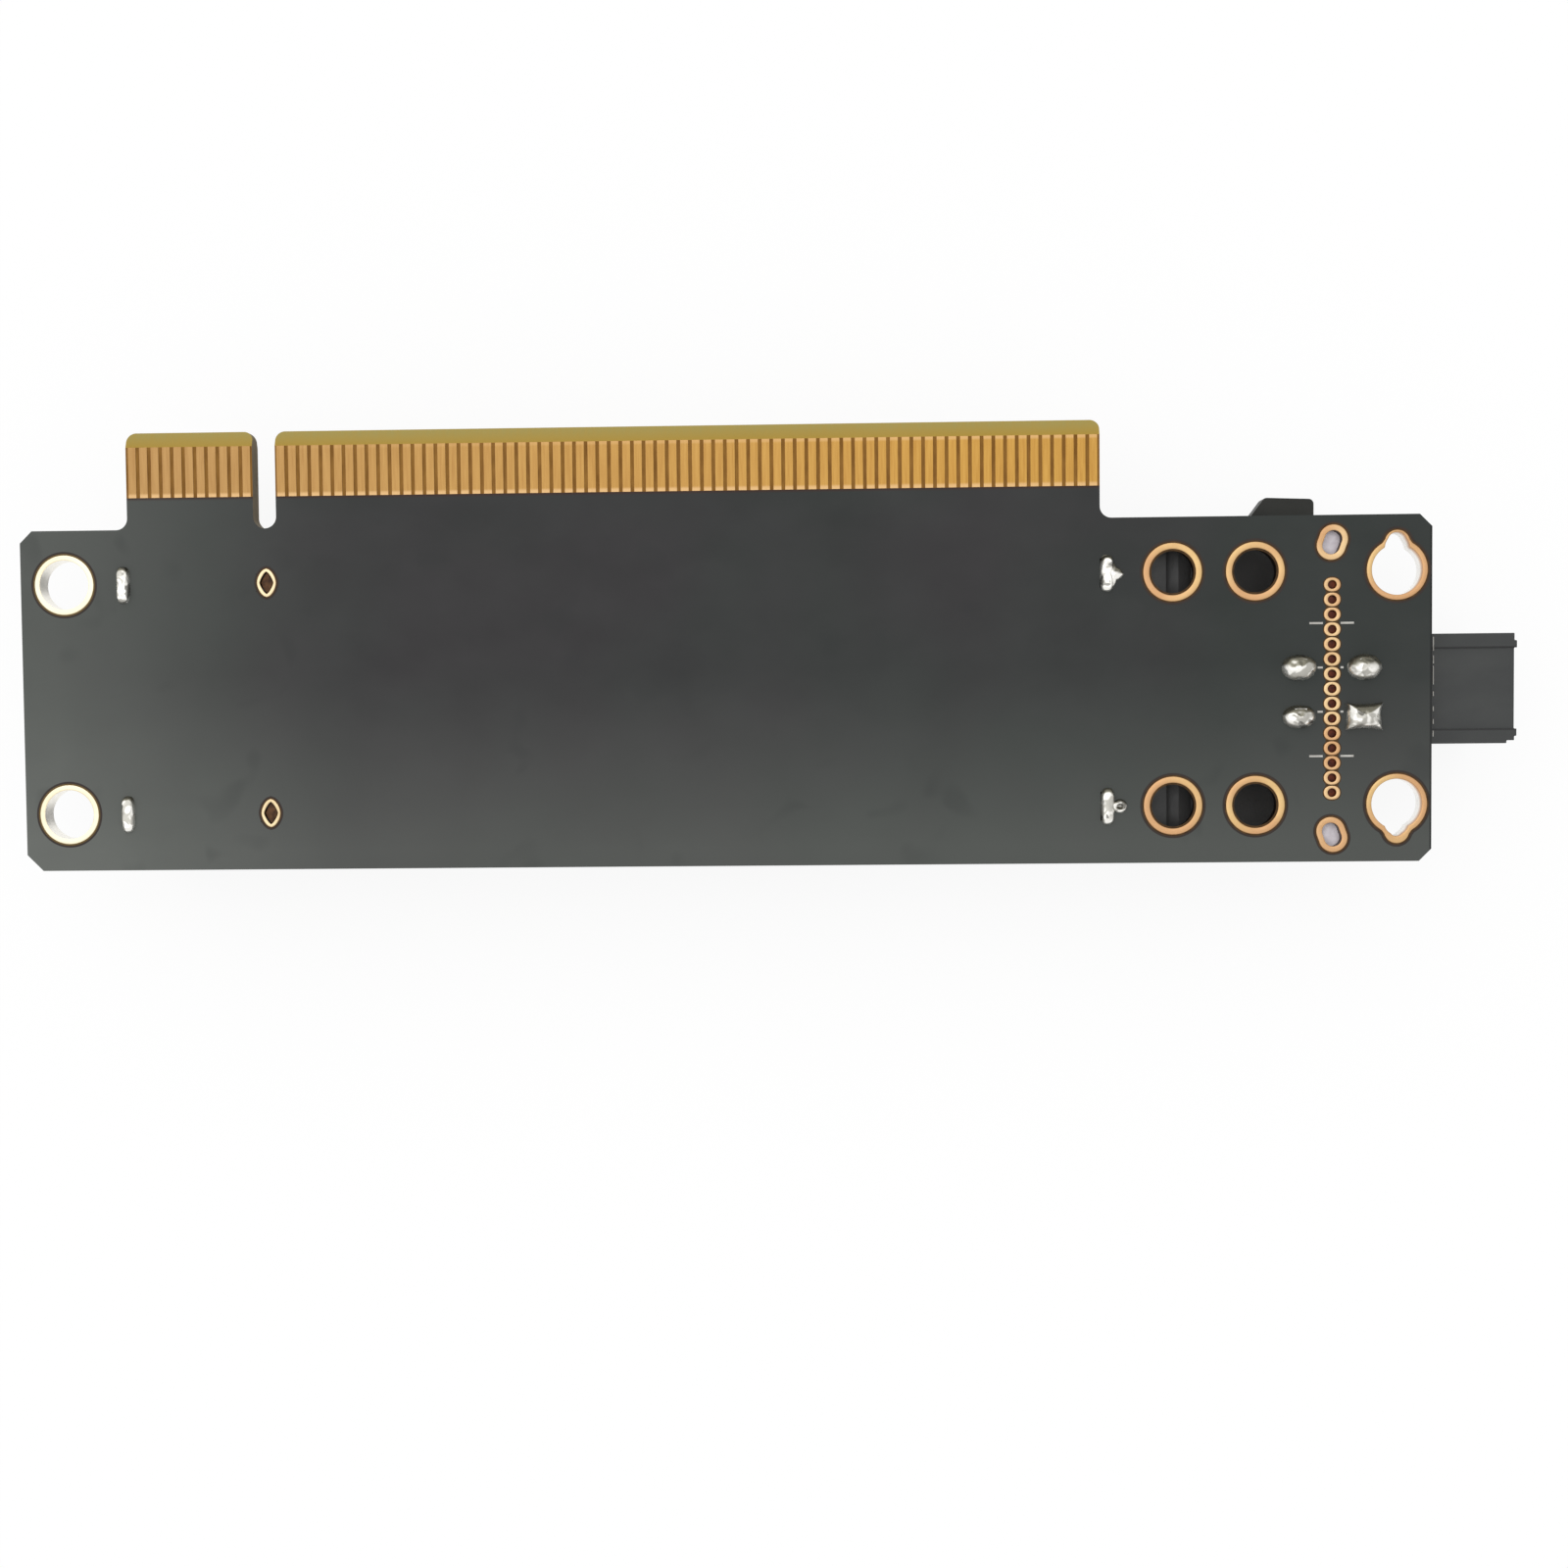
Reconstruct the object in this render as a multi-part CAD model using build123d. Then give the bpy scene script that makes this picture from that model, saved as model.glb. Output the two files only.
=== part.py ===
"""A slot-splitting riser card for servers, lying on its two card slots with the solder side up.

One long edge connector feeds two card slots on the far side of the board, each with its own
swinging latch. A right-angle power header hangs over the right edge. Lengths are in millimetres
and angles in degrees.

While it is built, X is measured from the middle of the key notch, Y from the line where the
tongue leaves the board, and Z from the slots' mouths, which are the plane that the card rests on.
"""

import math
import os

from build123d import *

# Edge contacts, the ruler for everything along the board
contact_pitch = 1.0
contacts_before_key = 11
contacts_after_key = 71
key_contact_gap = 3.0

# Board
board_thickness = 1.6
left_margin = 9.48
edge_beyond_latch = 8.47
slot_pitch = 20.0
slot_gap_at_top = 0.21
slot_gap_at_bottom = 0.42
corner_chamfer = 1.05
lower_left_chamfer = 1.4

# Tongue that plugs into the host
tongue_length = 8.4
tongue_side_margin = 0.55
tongue_root_radius = 1.0
tongue_tip_radius = 0.8
key_notch_width = 2.0
tip_bevel_length = 1.3
tip_bevel_depth = 0.45
finger_width = 0.68
finger_thickness = 0.04
finger_root = 2.74

# Plated holes
pad_thickness = 0.04
mounting_hole_radius = 2.15
mounting_pad_width = 0.43
left_hole_inset = 3.82
right_hole_inset = 2.95
keyhole_lobe_radius = 0.82
keyhole_lobe_offset = 2.3
keyhole_lobe_pad_width = 0.26
spare_hole_radius = 1.98
spare_hole_sides = 16
spare_hole_insets = (22.0, 14.97)
spare_pad_width = 0.54
row_pitch = 1.27
row_count = 15
row_hole_radius = 0.375
row_pad_length = 1.4
row_pad_width = 1.16
twin_hole_radius = 0.72
twin_hole_lean = 0.1
twin_hole_spread = 0.3
twin_pad_width = 0.5
twin_hole_gap = 3.6
peg_hole_width = 1.1
peg_hole_length = 1.85
peg_pad_width = 0.33

# Card slots
slot_height = 11.25
slot_width = 7.5
slot_standoff = 0.35
slot_pad_reach = 0.75
slot_end_space = 0.8
slot_end_wall = 2.2
slot_floor = 3.3
card_gap = 1.75
mouth_lead_in = 0.45
key_rib_width = 1.55
key_rib_recess = 0.6
outer_edge_chamfer = 0.35
channel_depth = 1.1
channel_undercut = 0.2
channel_top = 1.2
channel_side_space = 0.35
contacts_per_channel = 12
foot_block_space = 0.3
peg_clearance = 0.1
peg_recess = 0.3

# Contact springs of the card slots
spring_width = 0.45
spring_thickness = 0.28
spring_root_space = 0.35
spring_bow = 0.28
spring_top_space = 0.95

# Metal hold-downs at the ends of each slot
hold_down_offset = 1.0
hold_down_thickness = 0.4
hold_down_width = 2.0
hold_down_grip = 2.6
hold_down_stub = 0.25
hold_down_hole_space = 0.25

# Slot tails and their latches
ear_thickness = 1.3
ear_front_height = 8.2
ear_tip_height = 3.9
tail_base_length = 3.56
tail_base_height = 0.5
pivot_from_end = 4.7
pivot_height = 2.4
pivot_ear_margin = 1.7
trunnion_radius = 0.75
trunnion_clearance = 0.05
trunnion_recess = 0.15
latch_side_clearance = 0.3
latch_barrel_radius = 1.6
latch_mouth_clearance = 0.45
latch_arm_back = 0.9
latch_arm_front = 0.8
latch_nose_reach = 1.2
latch_nose_height = 0.6
latch_nose_slope = 1.3
latch_length = 12.57
latch_tip_height = 4.2
latch_pad_thickness = 1.75
latch_heel_height = 1.2
latch_heel_offset = 1.5
latch_gusset_height = 6.2
latch_gusset_length = 3.1
latch_pad_half_width = 3.5
latch_shoulder_clearance = 0.7
wing_reach = 6.78
wing_length = 4.62
wing_root_length = 7.19
wing_corner_radius = 0.45
grip_ridge_count = 3
grip_ridge_pitch = 1.3
grip_ridge_height = 0.3
grip_ridge_inset = 0.6

# Power header
header_width = 9.5
header_height = 9.6
header_overhang = 7.61
header_seat = 4.34
header_circuit_pitch = 4.2
header_cell = 3.5
header_cell_chamfer = 0.9
header_rear_wall = 1.8
header_rail_width = 1.25
header_rail_height = 0.15
header_nub = 0.2
header_nub_height = 2.0
header_side_step = 0.25
header_side_step_length = 0.65
header_ramp_height = 1.15
header_ramp_width = 3.6
header_ramp_length = 2.6
header_ramp_top = 0.8
header_ramp_setback = 1.6
header_wing_clearance = 0.45
pin_size = 1.0
pin_row_spacing = 5.5
pin_setback = 1.43
pin_tip_recess = 2.2
pin_tip_chamfer = 0.25
pin_bend_radius = 0.9
pin_stub = 0.7
pin_hole_space = 0.25

# Solder on the far ends of the pins and hold-downs
power_solder_length = 2.8
power_solder_width = 2.1
power_solder_cover = 0.35
square_solder_length = 3.1
square_solder_width = 2.2
square_solder_hollow = 0.14
solder_side_slope = 22.0
hold_down_solder_width = 1.1
hold_down_solder_length = 2.9
hold_down_solder_cover = 0.25
side_lobe_width = 1.1
side_lobe_offset = 1.0

# Small parts between the slots
clock_chip_size = 5.0
clock_chip_height = 0.9
clock_chip_place = 20.0
capacitor_size = (1.6, 0.8, 0.8)
resistor_size = (1.6, 0.8, 0.45)
small_part_spacing = 1.9
small_part_gap = 1.2
small_parts_a_side = 3
bulk_capacitor_size = (7.3, 4.3, 2.8)
bulk_capacitor_place = 26.0
bulk_capacitor_spacing = 9.5
bulk_terminal_length = 0.5
bulk_terminal_width = 2.4
bulk_terminal_height = 1.4

# Levels, from the slots' mouths up to the solder side
component_face = slot_height
solder_face = component_face + board_thickness

# Places along X
first_contact = -key_contact_gap / 2 - (contacts_before_key - 1) * contact_pitch
last_contact = key_contact_gap / 2 + (contacts_after_key - 1) * contact_pitch
tongue_left = first_contact - tongue_side_margin
tongue_right = last_contact + tongue_side_margin
slot_inside_left = first_contact - slot_end_space
slot_inside_right = last_contact + slot_end_space
slot_left = slot_inside_left - slot_end_wall
slot_right = slot_inside_right + slot_end_wall
pivot_x = slot_right + pivot_from_end
latch_tip = pivot_x + latch_length
board_left = tongue_left - left_margin
board_right = latch_tip + edge_beyond_latch
header_rear = board_right - header_seat
header_front = board_right + header_overhang
near_pin_x = header_rear - pin_setback
far_pin_x = near_pin_x - pin_row_spacing
row_x = (near_pin_x + far_pin_x) / 2

# Places along Y
pad_edge = slot_width / 2 + slot_pad_reach
upper_axis = -slot_gap_at_top - pad_edge
lower_axis = upper_axis - slot_pitch
slot_axes = {"upper": upper_axis, "lower": lower_axis}
board_bottom = lower_axis - pad_edge - slot_gap_at_bottom
middle_line = board_bottom / 2
lower_pin_edge = lower_axis + wing_reach + header_wing_clearance
header_axis = lower_pin_edge + pin_size / 2 + header_circuit_pitch / 2
ear_inside = slot_width / 2 - ear_thickness
latch_half_width = ear_inside - latch_side_clearance

# The middle of the whole card, which becomes X and Y zero in the finished parts
origin_x = (board_left + header_front + header_nub) / 2
origin_y = (board_bottom + tongue_length) / 2


def block(x, y, z):
    """A block that spans three (low, high) pairs."""
    size = [high - low for low, high in (x, y, z)]
    return Pos(x[0], y[0], z[0]) * Box(*size, align=Align.MIN)


def prism_along_x(section, x):
    """A solid with one (y, z) section, between two places along X."""
    if isinstance(section, list):
        section = make_face(Polyline(*section, close=True))
    return Pos(x[0], 0, 0) * extrude(Plane.YZ * section, x[1] - x[0])


def prism_along_y(section, y):
    """A solid with one (x, z) section, between two places along Y."""
    if isinstance(section, list):
        section = make_face(Polyline(*section, close=True))
    return Pos(0, y[0], 0) * extrude(Plane.XZ * section, y[1] - y[0], dir=(0, 1, 0))


def upright(outline, z):
    """A solid with one (x, y) outline, between two levels."""
    return Pos(0, 0, z[0]) * extrude(outline, z[1] - z[0])


def below(height):
    """The level that lies this far from the board on its component side."""
    return component_face - height


def around(middle, width):
    """The (low, high) pair of a width about its middle."""
    return (middle - width / 2, middle + width / 2)


def contact_groups():
    """The contacts' places along X, before and after the key."""
    before = [-key_contact_gap / 2 - i * contact_pitch for i in range(contacts_before_key)]
    after = [key_contact_gap / 2 + i * contact_pitch for i in range(contacts_after_key)]
    return before[::-1], after


def all_contacts():
    before, after = contact_groups()
    return before + after


# Openings in the board: flat shapes that can be grown to the plating and to the pad


def round_hole(radius, grow=0.0):
    return Circle(radius + grow)


def keyhole(direction, grow=0.0, lobe_grow=0.0):
    """A round hole with a small lobe towards one end of Y."""
    lobe = Circle(keyhole_lobe_radius + lobe_grow)
    return Circle(mounting_hole_radius + grow) + Pos(0, direction * keyhole_lobe_offset) * lobe


def spare_hole(grow=0.0):
    """A nearly round hole with many short sides."""
    return RegularPolygon(spare_hole_radius + grow, spare_hole_sides)


def eight_sided(x_size, y_size):
    """A rectangle with its corners cut so that each side of the square one is as long as the cuts."""
    outline = Rectangle(x_size, y_size)
    return chamfer(outline.vertices(), min(x_size, y_size) * (1 - math.sqrt(0.5)))


def twin_hole(direction, grow=0.0):
    """Two eight-sided holes run together, the higher one leaning to one side."""
    width = 2 * (twin_hole_radius + grow)
    one = eight_sided(width, width)
    high = Pos(direction * twin_hole_lean, twin_hole_spread) * one
    low = Pos(-direction * twin_hole_lean, -twin_hole_spread) * one
    return high + low


def peg_hole(grow=0.0):
    return eight_sided(peg_hole_width + 2 * grow, peg_hole_length + 2 * grow)


def mounting_places():
    return [(board_left + left_hole_inset, axis) for axis in slot_axes.values()]


def keyhole_places():
    x = board_right - right_hole_inset
    return [(x, upper_axis, 1), (x, lower_axis, -1)]


def spare_places():
    return [(board_right - inset, axis) for axis in slot_axes.values() for inset in spare_hole_insets]


def row_places():
    top = middle_line + row_pitch * (row_count - 1) / 2
    return [(row_x, top - i * row_pitch) for i in range(row_count)]


def twin_places():
    reach = row_pitch * (row_count - 1) / 2 + twin_hole_gap
    return [(row_x, middle_line + reach, 1), (row_x, middle_line - reach, -1)]


def hold_down_places():
    """Where the slots' hold-downs pass the board: x, y and whether it is a right-hand one."""
    ends = [(first_contact - hold_down_offset, False), (last_contact + hold_down_offset, True)]
    return [(x, axis, right) for axis in slot_axes.values() for x, right in ends]


def power_pin_places():
    """The power pins' places: x, y and the height at which each leaves the header."""
    rows = [
        (near_pin_x, header_height / 2 - header_circuit_pitch / 2),
        (far_pin_x, header_height / 2 + header_circuit_pitch / 2),
    ]
    half = header_circuit_pitch / 2
    return [(x, header_axis + side * half, height) for x, height in rows for side in (1, -1)]


def screw_openings():
    """The screw holes' places, with each one's opening and the outline of its pad."""
    mounting = (round_hole(mounting_hole_radius), round_hole(mounting_hole_radius, mounting_pad_width))
    found = [(Pos(x, y), *mounting) for x, y in mounting_places()]
    for x, y, side in keyhole_places():
        pad = keyhole(side, mounting_pad_width, keyhole_lobe_pad_width)
        found.append((Pos(x, y), keyhole(side), pad))
    spare = (spare_hole(), spare_hole(spare_pad_width))
    return found + [(Pos(x, y), *spare) for x, y in spare_places()]


def pin_openings():
    """The same for the small holes: the pin row, the twin holes at its ends and the slots' pegs."""
    across = 2 * row_hole_radius
    row = (eight_sided(across, across), eight_sided(row_pad_length, row_pad_width))
    found = [(Pos(x, y), *row) for x, y in row_places()]
    found += [(Pos(x, y), twin_hole(side), twin_hole(side, twin_pad_width)) for x, y, side in twin_places()]
    return found + [(Pos(0, y), peg_hole(), peg_hole(peg_pad_width)) for y in slot_axes.values()]


def board_openings():
    """Every opening in the board, where a collar lines it or a blade or pin passes it."""
    shapes = [place * pad for place, _, pad in screw_openings() + pin_openings()]
    blade_hole = Rectangle(
        hold_down_thickness + 2 * hold_down_hole_space, hold_down_width + 2 * hold_down_hole_space
    )
    shapes += [Pos(x, y) * blade_hole for x, y, _ in hold_down_places()]
    pin_hole = eight_sided(pin_size + 2 * pin_hole_space, pin_size + 2 * pin_hole_space)
    shapes += [Pos(x, y) * pin_hole for x, y, _ in power_pin_places()]
    return shapes


def corners_at(outline, level, sides=None):
    """The outline's corners on one Y level, or only those at the given places along X."""
    found = [v for v in outline.vertices() if abs(v.Y - level) < 0.001]
    if sides is None:
        return found
    return [v for v in found if min(abs(v.X - x) for x in sides) < 0.001]


def board_outline():
    """A body with cut corners, and a tongue with rounded corners and a key notch."""
    points = [
        (board_left + lower_left_chamfer, board_bottom),
        (board_right - corner_chamfer, board_bottom),
        (board_right, board_bottom + corner_chamfer),
        (board_right, -corner_chamfer),
        (board_right - corner_chamfer, 0),
        (tongue_right, 0),
        (tongue_right, tongue_length),
        (tongue_left, tongue_length),
        (tongue_left, 0),
        (board_left + corner_chamfer, 0),
        (board_left, -corner_chamfer),
        (board_left, board_bottom + lower_left_chamfer),
    ]
    outline = make_face(Polyline(*points, close=True))
    outline = fillet(corners_at(outline, 0, (tongue_left, tongue_right)), tongue_root_radius)
    half = key_notch_width / 2
    notch = Rectangle(key_notch_width, tongue_length, align=(Align.CENTER, Align.MIN)) + Circle(half)
    outline -= Pos(0, half) * notch
    return fillet(corners_at(outline, tongue_length), tongue_tip_radius)


def tip_bevel(face, inward):
    """The wedge that is cut from one face of the tongue's tip."""
    start = tongue_length - tip_bevel_length
    past = 2 * tip_bevel_length
    drop = inward * tip_bevel_depth * past / tip_bevel_length
    section = [(start, face), (start + past, face), (start + past, face + drop)]
    return prism_along_x(section, (tongue_left - 1, tongue_right + 1))


def circuit_board():
    outline = board_outline()
    for opening in board_openings():
        outline -= opening
    board = upright(outline, (component_face, solder_face))
    return board - tip_bevel(solder_face, -1) - tip_bevel(component_face, 1)


def finger_row(face, outward):
    """The gold contacts of one side of the tongue."""
    levels = sorted((face, face + outward * finger_thickness))
    length = (finger_root, tongue_length - tip_bevel_length)
    return [block(around(x, finger_width), length, levels) for x in all_contacts()]


def linings(openings):
    """The plated collars of some openings, which stand a little above both faces of the board."""
    levels = (component_face - pad_thickness, solder_face + pad_thickness)
    return [place * upright(pad - hole, levels) for place, hole, pad in openings]


# One card slot, on its own centre line


def card_cut(x):
    """The space that a card's edge slides into."""
    return block(x, around(0, card_gap), (-1, below(slot_floor)))


def mouth_cut():
    """The slanted lead-in along the mouth."""
    half = card_gap / 2
    wide = half + 2 * mouth_lead_in
    section = [(-wide, -mouth_lead_in), (wide, -mouth_lead_in), (half, mouth_lead_in), (-half, mouth_lead_in)]
    return prism_along_x(section, (slot_inside_left, slot_inside_right))


def channel_cuts():
    """The channels beside the card space in which the springs stand, with a rib between them."""
    cuts = []
    inside = card_gap / 2 - channel_undercut
    outside = card_gap / 2 + channel_depth
    for group in contact_groups():
        for start in range(0, len(group), contacts_per_channel):
            stretch = group[start : start + contacts_per_channel]
            x = (stretch[0] - channel_side_space, stretch[-1] + channel_side_space)
            for y in ((inside, outside), (-outside, -inside)):
                cuts.append(block(x, y, (channel_top, component_face + 1)))
    return cuts


def slot_feet():
    """The blocks at the ends and at the key that stand on the board."""
    spring_edge = spring_width / 2 + foot_block_space
    stretches = [
        (slot_left, first_contact - spring_edge),
        (-key_rib_width / 2, key_rib_width / 2),
        (last_contact + spring_edge, slot_right),
    ]
    z = (below(slot_standoff), component_face)
    return [block(x, around(0, slot_width), z) for x in stretches]


def slot_tail():
    """Two ears with bores for the latch, and the base that joins them."""
    ear_end = pivot_x + pivot_ear_margin
    side = [
        (slot_right, below(slot_standoff)),
        (ear_end, below(slot_standoff)),
        (ear_end, below(ear_tip_height - pivot_ear_margin / 2)),
        (ear_end - pivot_ear_margin / 2, below(ear_tip_height)),
        (pivot_x - pivot_ear_margin / 2, below(ear_tip_height)),
        (slot_right, below(ear_front_height)),
    ]
    half = slot_width / 2
    ears = [prism_along_y(side, y) for y in ((-half, -ear_inside), (ear_inside, half))]
    base = block(
        (slot_right, slot_right + tail_base_length),
        (-ear_inside, ear_inside),
        (below(slot_standoff + tail_base_height), below(slot_standoff)),
    )
    return [*ears, base]


def across(x, height, radius, length):
    """A round bar that lies across the slot, at a place along X and a height over the board."""
    return Pos(x, 0, below(height)) * Rot(90, 0, 0) * Cylinder(radius, length)


def slot_housing():
    half = slot_width / 2
    edge = outer_edge_chamfer
    foot = below(slot_standoff)
    section = [(-half, foot), (-half, edge), (edge - half, 0), (half - edge, 0), (half, edge), (half, foot)]
    housing = prism_along_x(section, (slot_left, slot_right))
    for piece in slot_feet() + slot_tail():
        housing += piece
    key = key_rib_width / 2
    housing -= card_cut((slot_inside_left, -key))
    housing -= card_cut((key, slot_inside_right))
    housing -= mouth_cut()
    housing -= block((-key, key), around(0, card_gap), (-1, key_rib_recess))
    for cut in channel_cuts():
        housing -= cut
    for x in (first_contact - hold_down_offset, last_contact + hold_down_offset):
        housing -= hold_down_blade(x, component_face)
    housing -= across(pivot_x, pivot_height, trunnion_radius + trunnion_clearance, 2 * slot_width)
    pad_space = upright(peg_hole(peg_pad_width + peg_clearance), (below(peg_clearance), component_face))
    peg = upright(peg_hole(-peg_clearance), (below(peg_clearance), solder_face - peg_recess))
    return housing - pad_space + peg


def hold_down_blade(x, top):
    """A flat metal tab from inside the housing's end up to a level."""
    y = around(0, hold_down_width)
    return block(around(x, hold_down_thickness), y, (below(hold_down_grip), top))


def spring_section(side):
    """A contact spring: a leaf that stands on the board, leans into the card space and tapers."""
    root = card_gap / 2 + spring_root_space
    tip = card_gap / 2 - spring_bow
    top = slot_height - channel_top - spring_top_space
    points = [(root, 0), (tip, top), (root + spring_thickness, 0)]
    return [(side * y, below(height)) for y, height in points]


def spring_row(side):
    """All the contact springs on one side of a card slot."""
    one = prism_along_x(spring_section(side), around(0, spring_width))
    return [Pos(x, 0, 0) * one for x in all_contacts()]


# The latch at the end of each slot


def lever_level(along, height):
    """A level on the sloping lever, along it from the pivot, over its underside."""
    slope = (latch_tip_height - latch_heel_height) / (latch_length - latch_heel_offset)
    return below(latch_heel_height + slope * (along - latch_heel_offset) + height)


def latch_side():
    """The latch from the side: an arm with a nose, a gusset and the sloping thumb lever."""
    top = component_face - latch_mouth_clearance
    nose_low = top - latch_nose_slope - latch_nose_height
    back = -latch_arm_back
    points = [
        (back, below(pivot_height)),
        (back, below(nose_low - latch_nose_reach / 2)),
        (back - latch_nose_reach, below(nose_low)),
        (back - latch_nose_reach, below(top - latch_nose_slope)),
        (back + latch_nose_reach / 4, below(top)),
        (latch_arm_front, below(top)),
        (latch_arm_front, below(latch_gusset_height)),
        (latch_gusset_length, lever_level(latch_gusset_length, latch_pad_thickness)),
        (latch_length, lever_level(latch_length, latch_pad_thickness)),
        (latch_length, lever_level(latch_length, 0)),
        (latch_heel_offset, lever_level(latch_heel_offset, 0)),
    ]
    return [(pivot_x + x, z) for x, z in points]


def latch_plan():
    """The latch from above: narrow between the ears, then a pad with a wing on one side."""
    shoulder = pivot_ear_margin + latch_shoulder_clearance
    arm = latch_arm_back + latch_nose_reach + 1
    half = latch_pad_half_width
    points = [
        (-arm, -latch_half_width),
        (shoulder, -latch_half_width),
        (shoulder, -half),
        (latch_length, -half),
        (latch_length, wing_reach),
        (latch_length - wing_length, wing_reach),
        (latch_length - wing_root_length, half),
        (shoulder, half),
        (shoulder, latch_half_width),
        (-arm, latch_half_width),
    ]
    outline = make_face(Polyline(*points, close=True))
    rounded = corners_at(outline, wing_reach) + corners_at(outline, -half, (latch_length,))
    return Pos(pivot_x, 0) * fillet(rounded, wing_corner_radius)


def grip_ridge(number):
    """One small ridge across the thumb pad."""
    along = latch_length - grip_ridge_inset * 2 - number * grip_ridge_pitch
    base = grip_ridge_height
    points = [
        (along - base, lever_level(along - base, latch_pad_thickness - 0.1)),
        (along, lever_level(along, latch_pad_thickness + grip_ridge_height)),
        (along + base, lever_level(along + base, latch_pad_thickness - 0.1)),
    ]
    y = (grip_ridge_inset - latch_pad_half_width, wing_reach - grip_ridge_inset)
    return prism_along_y([(pivot_x + x, z) for x, z in points], y)


def latch_barrel():
    """The eight-sided barrel between the ears, from which the trunnions stand out."""
    outline = Pos(pivot_x, below(pivot_height)) * RegularPolygon(latch_barrel_radius, 8)
    return prism_along_y(outline, around(0, 2 * latch_half_width))


def latch():
    """The swinging latch, moulded in one piece with its trunnions."""
    reach = (-latch_pad_half_width, wing_reach)
    body = prism_along_y(latch_side(), reach) & upright(latch_plan(), (0, component_face))
    body += latch_barrel()
    body += across(pivot_x, pivot_height, trunnion_radius, slot_width - 2 * trunnion_recess)
    for number in range(grip_ridge_count):
        body += grip_ridge(number)
    return body


# Power header


def header_body():
    """The header's outer form: two rails under it, nubs at their front ends and a side step."""
    low, high = around(header_axis, header_width)
    rail = header_rail_width
    section = [
        (low, component_face),
        (low + rail, component_face),
        (low + rail, below(header_rail_height)),
        (high - rail, below(header_rail_height)),
        (high - rail, component_face),
        (high, component_face),
        (high, below(header_height)),
        (low, below(header_height)),
    ]
    body = prism_along_x(section, (header_rear, header_front))
    step = (header_front - header_side_step_length, header_front + 1)
    body -= block(step, (low - 1, low + header_side_step), (below(header_height) - 1, component_face + 1))
    nub_width = rail / 2
    for middle in (low + rail - nub_width / 2, high - rail + nub_width / 2):
        x = (header_front - rail, header_front + header_nub)
        body += block(x, around(middle, nub_width), (below(header_nub_height), component_face))
    return body


def header_ramp():
    """The ramp that a plug's lever snaps over."""
    start = header_front - header_ramp_setback
    top = below(header_height + header_ramp_height)
    foot = below(header_height - header_ramp_height)
    end = start - header_ramp_length - header_ramp_top
    section = [
        (start, foot),
        (start, below(header_height)),
        (start - header_ramp_length, top),
        (end, top),
        (end, foot),
    ]
    return prism_along_y(section, around(header_axis, header_ramp_width))


def header_cells():
    """The four terminal cells, two of them with cut corners so that a plug fits one way only."""
    cells = []
    half = header_circuit_pitch / 2
    middle = below(header_height / 2)
    for across_side in (1, -1):
        for depth_side in (1, -1):
            cell = Rectangle(header_cell, header_cell)
            if across_side == depth_side:
                outer = [v for v in cell.vertices() if v.Y * depth_side > 0]
                cell = chamfer(outer, header_cell_chamfer)
            place = Pos(header_axis + across_side * half, middle + depth_side * half)
            cells.append(prism_along_x(place * cell, (header_rear + header_rear_wall, header_front + 1)))
    return cells


def header_housing():
    housing = header_body() + header_ramp()
    for cell in header_cells():
        housing -= cell
    for x, y, height in power_pin_places():
        z = around(below(height), pin_size)
        housing -= block((header_rear - 1, header_rear + header_rear_wall + 1), around(y, pin_size), z)
    return housing


def power_pin(x, y, height):
    """A square pin: straight in its cell, then bent down through the board."""
    half = pin_size / 2
    tip = header_front - pin_tip_recess
    end = solder_face + pin_stub
    points = [
        (tip, below(height - half)),
        (tip, below(height + half)),
        (x - half, below(height + half)),
        (x - half, end),
        (x + half, end),
        (x + half, below(height - half)),
    ]
    outline = make_face(Polyline(*points, close=True))
    bend = [v for v in outline.vertices() if abs(v.X - x + half) < 0.001 and abs(v.Y - points[2][1]) < 0.001]
    outline = fillet(bend, pin_bend_radius)
    ends = [v for v in outline.vertices() if abs(v.X - tip) < 0.001]
    outline = chamfer(ends, pin_tip_chamfer)
    return prism_along_y(outline, around(y, pin_size))


def power_pins(x_wanted):
    return [power_pin(x, y, height) for x, y, height in power_pin_places() if x == x_wanted]


# Solder


def heap(outline, height):
    """A heap of solder on one outline, with sides that slope inwards."""
    return Pos(0, 0, solder_face) * extrude(outline, height, taper=solder_side_slope)


def square_pad_outline():
    """A rectangle whose sides bend inwards to their middles, so that its corners are pointed."""
    a = square_solder_length / 2
    b = square_solder_width / 2
    in_a = a - square_solder_hollow
    in_b = b - square_solder_hollow
    points = [(a, b), (0, in_b), (-a, b), (-in_a, 0), (-a, -b), (0, -in_b), (a, -b), (in_a, 0)]
    return make_face(Polyline(*points, close=True))


def power_solder():
    """The heaps over the power pins, with a square one at the pin nearest the lower right corner."""
    joints = []
    height = pin_stub + power_solder_cover
    for x, y, pin_height in power_pin_places():
        if x == near_pin_x and y < header_axis:
            outline = square_pad_outline()
        else:
            outline = eight_sided(power_solder_length, power_solder_width)
        joints.append(Pos(x, y) * heap(outline, height) - power_pin(x, y, pin_height))
    return joints


def hold_down_solder():
    """The long heaps over the hold-downs, with a side lobe on the right-hand ones."""
    joints = []
    height = hold_down_stub + hold_down_solder_cover
    blade_top = solder_face + hold_down_stub
    for x, y, right in hold_down_places():
        joint = heap(eight_sided(hold_down_solder_width, hold_down_solder_length), height)
        if right:
            lobe = Pos(side_lobe_offset, 0) * heap(eight_sided(side_lobe_width, side_lobe_width), height)
            joint += lobe
        joints.append(Pos(x, y) * (joint - hold_down_blade(0, blade_top)))
    return joints


# Small parts on the component side, between the slots


def small_part(size, x, y):
    """A block-shaped part that sits on the component face."""
    return block(around(x, size[0]), around(y, size[1]), (below(size[2]), component_face))


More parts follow.
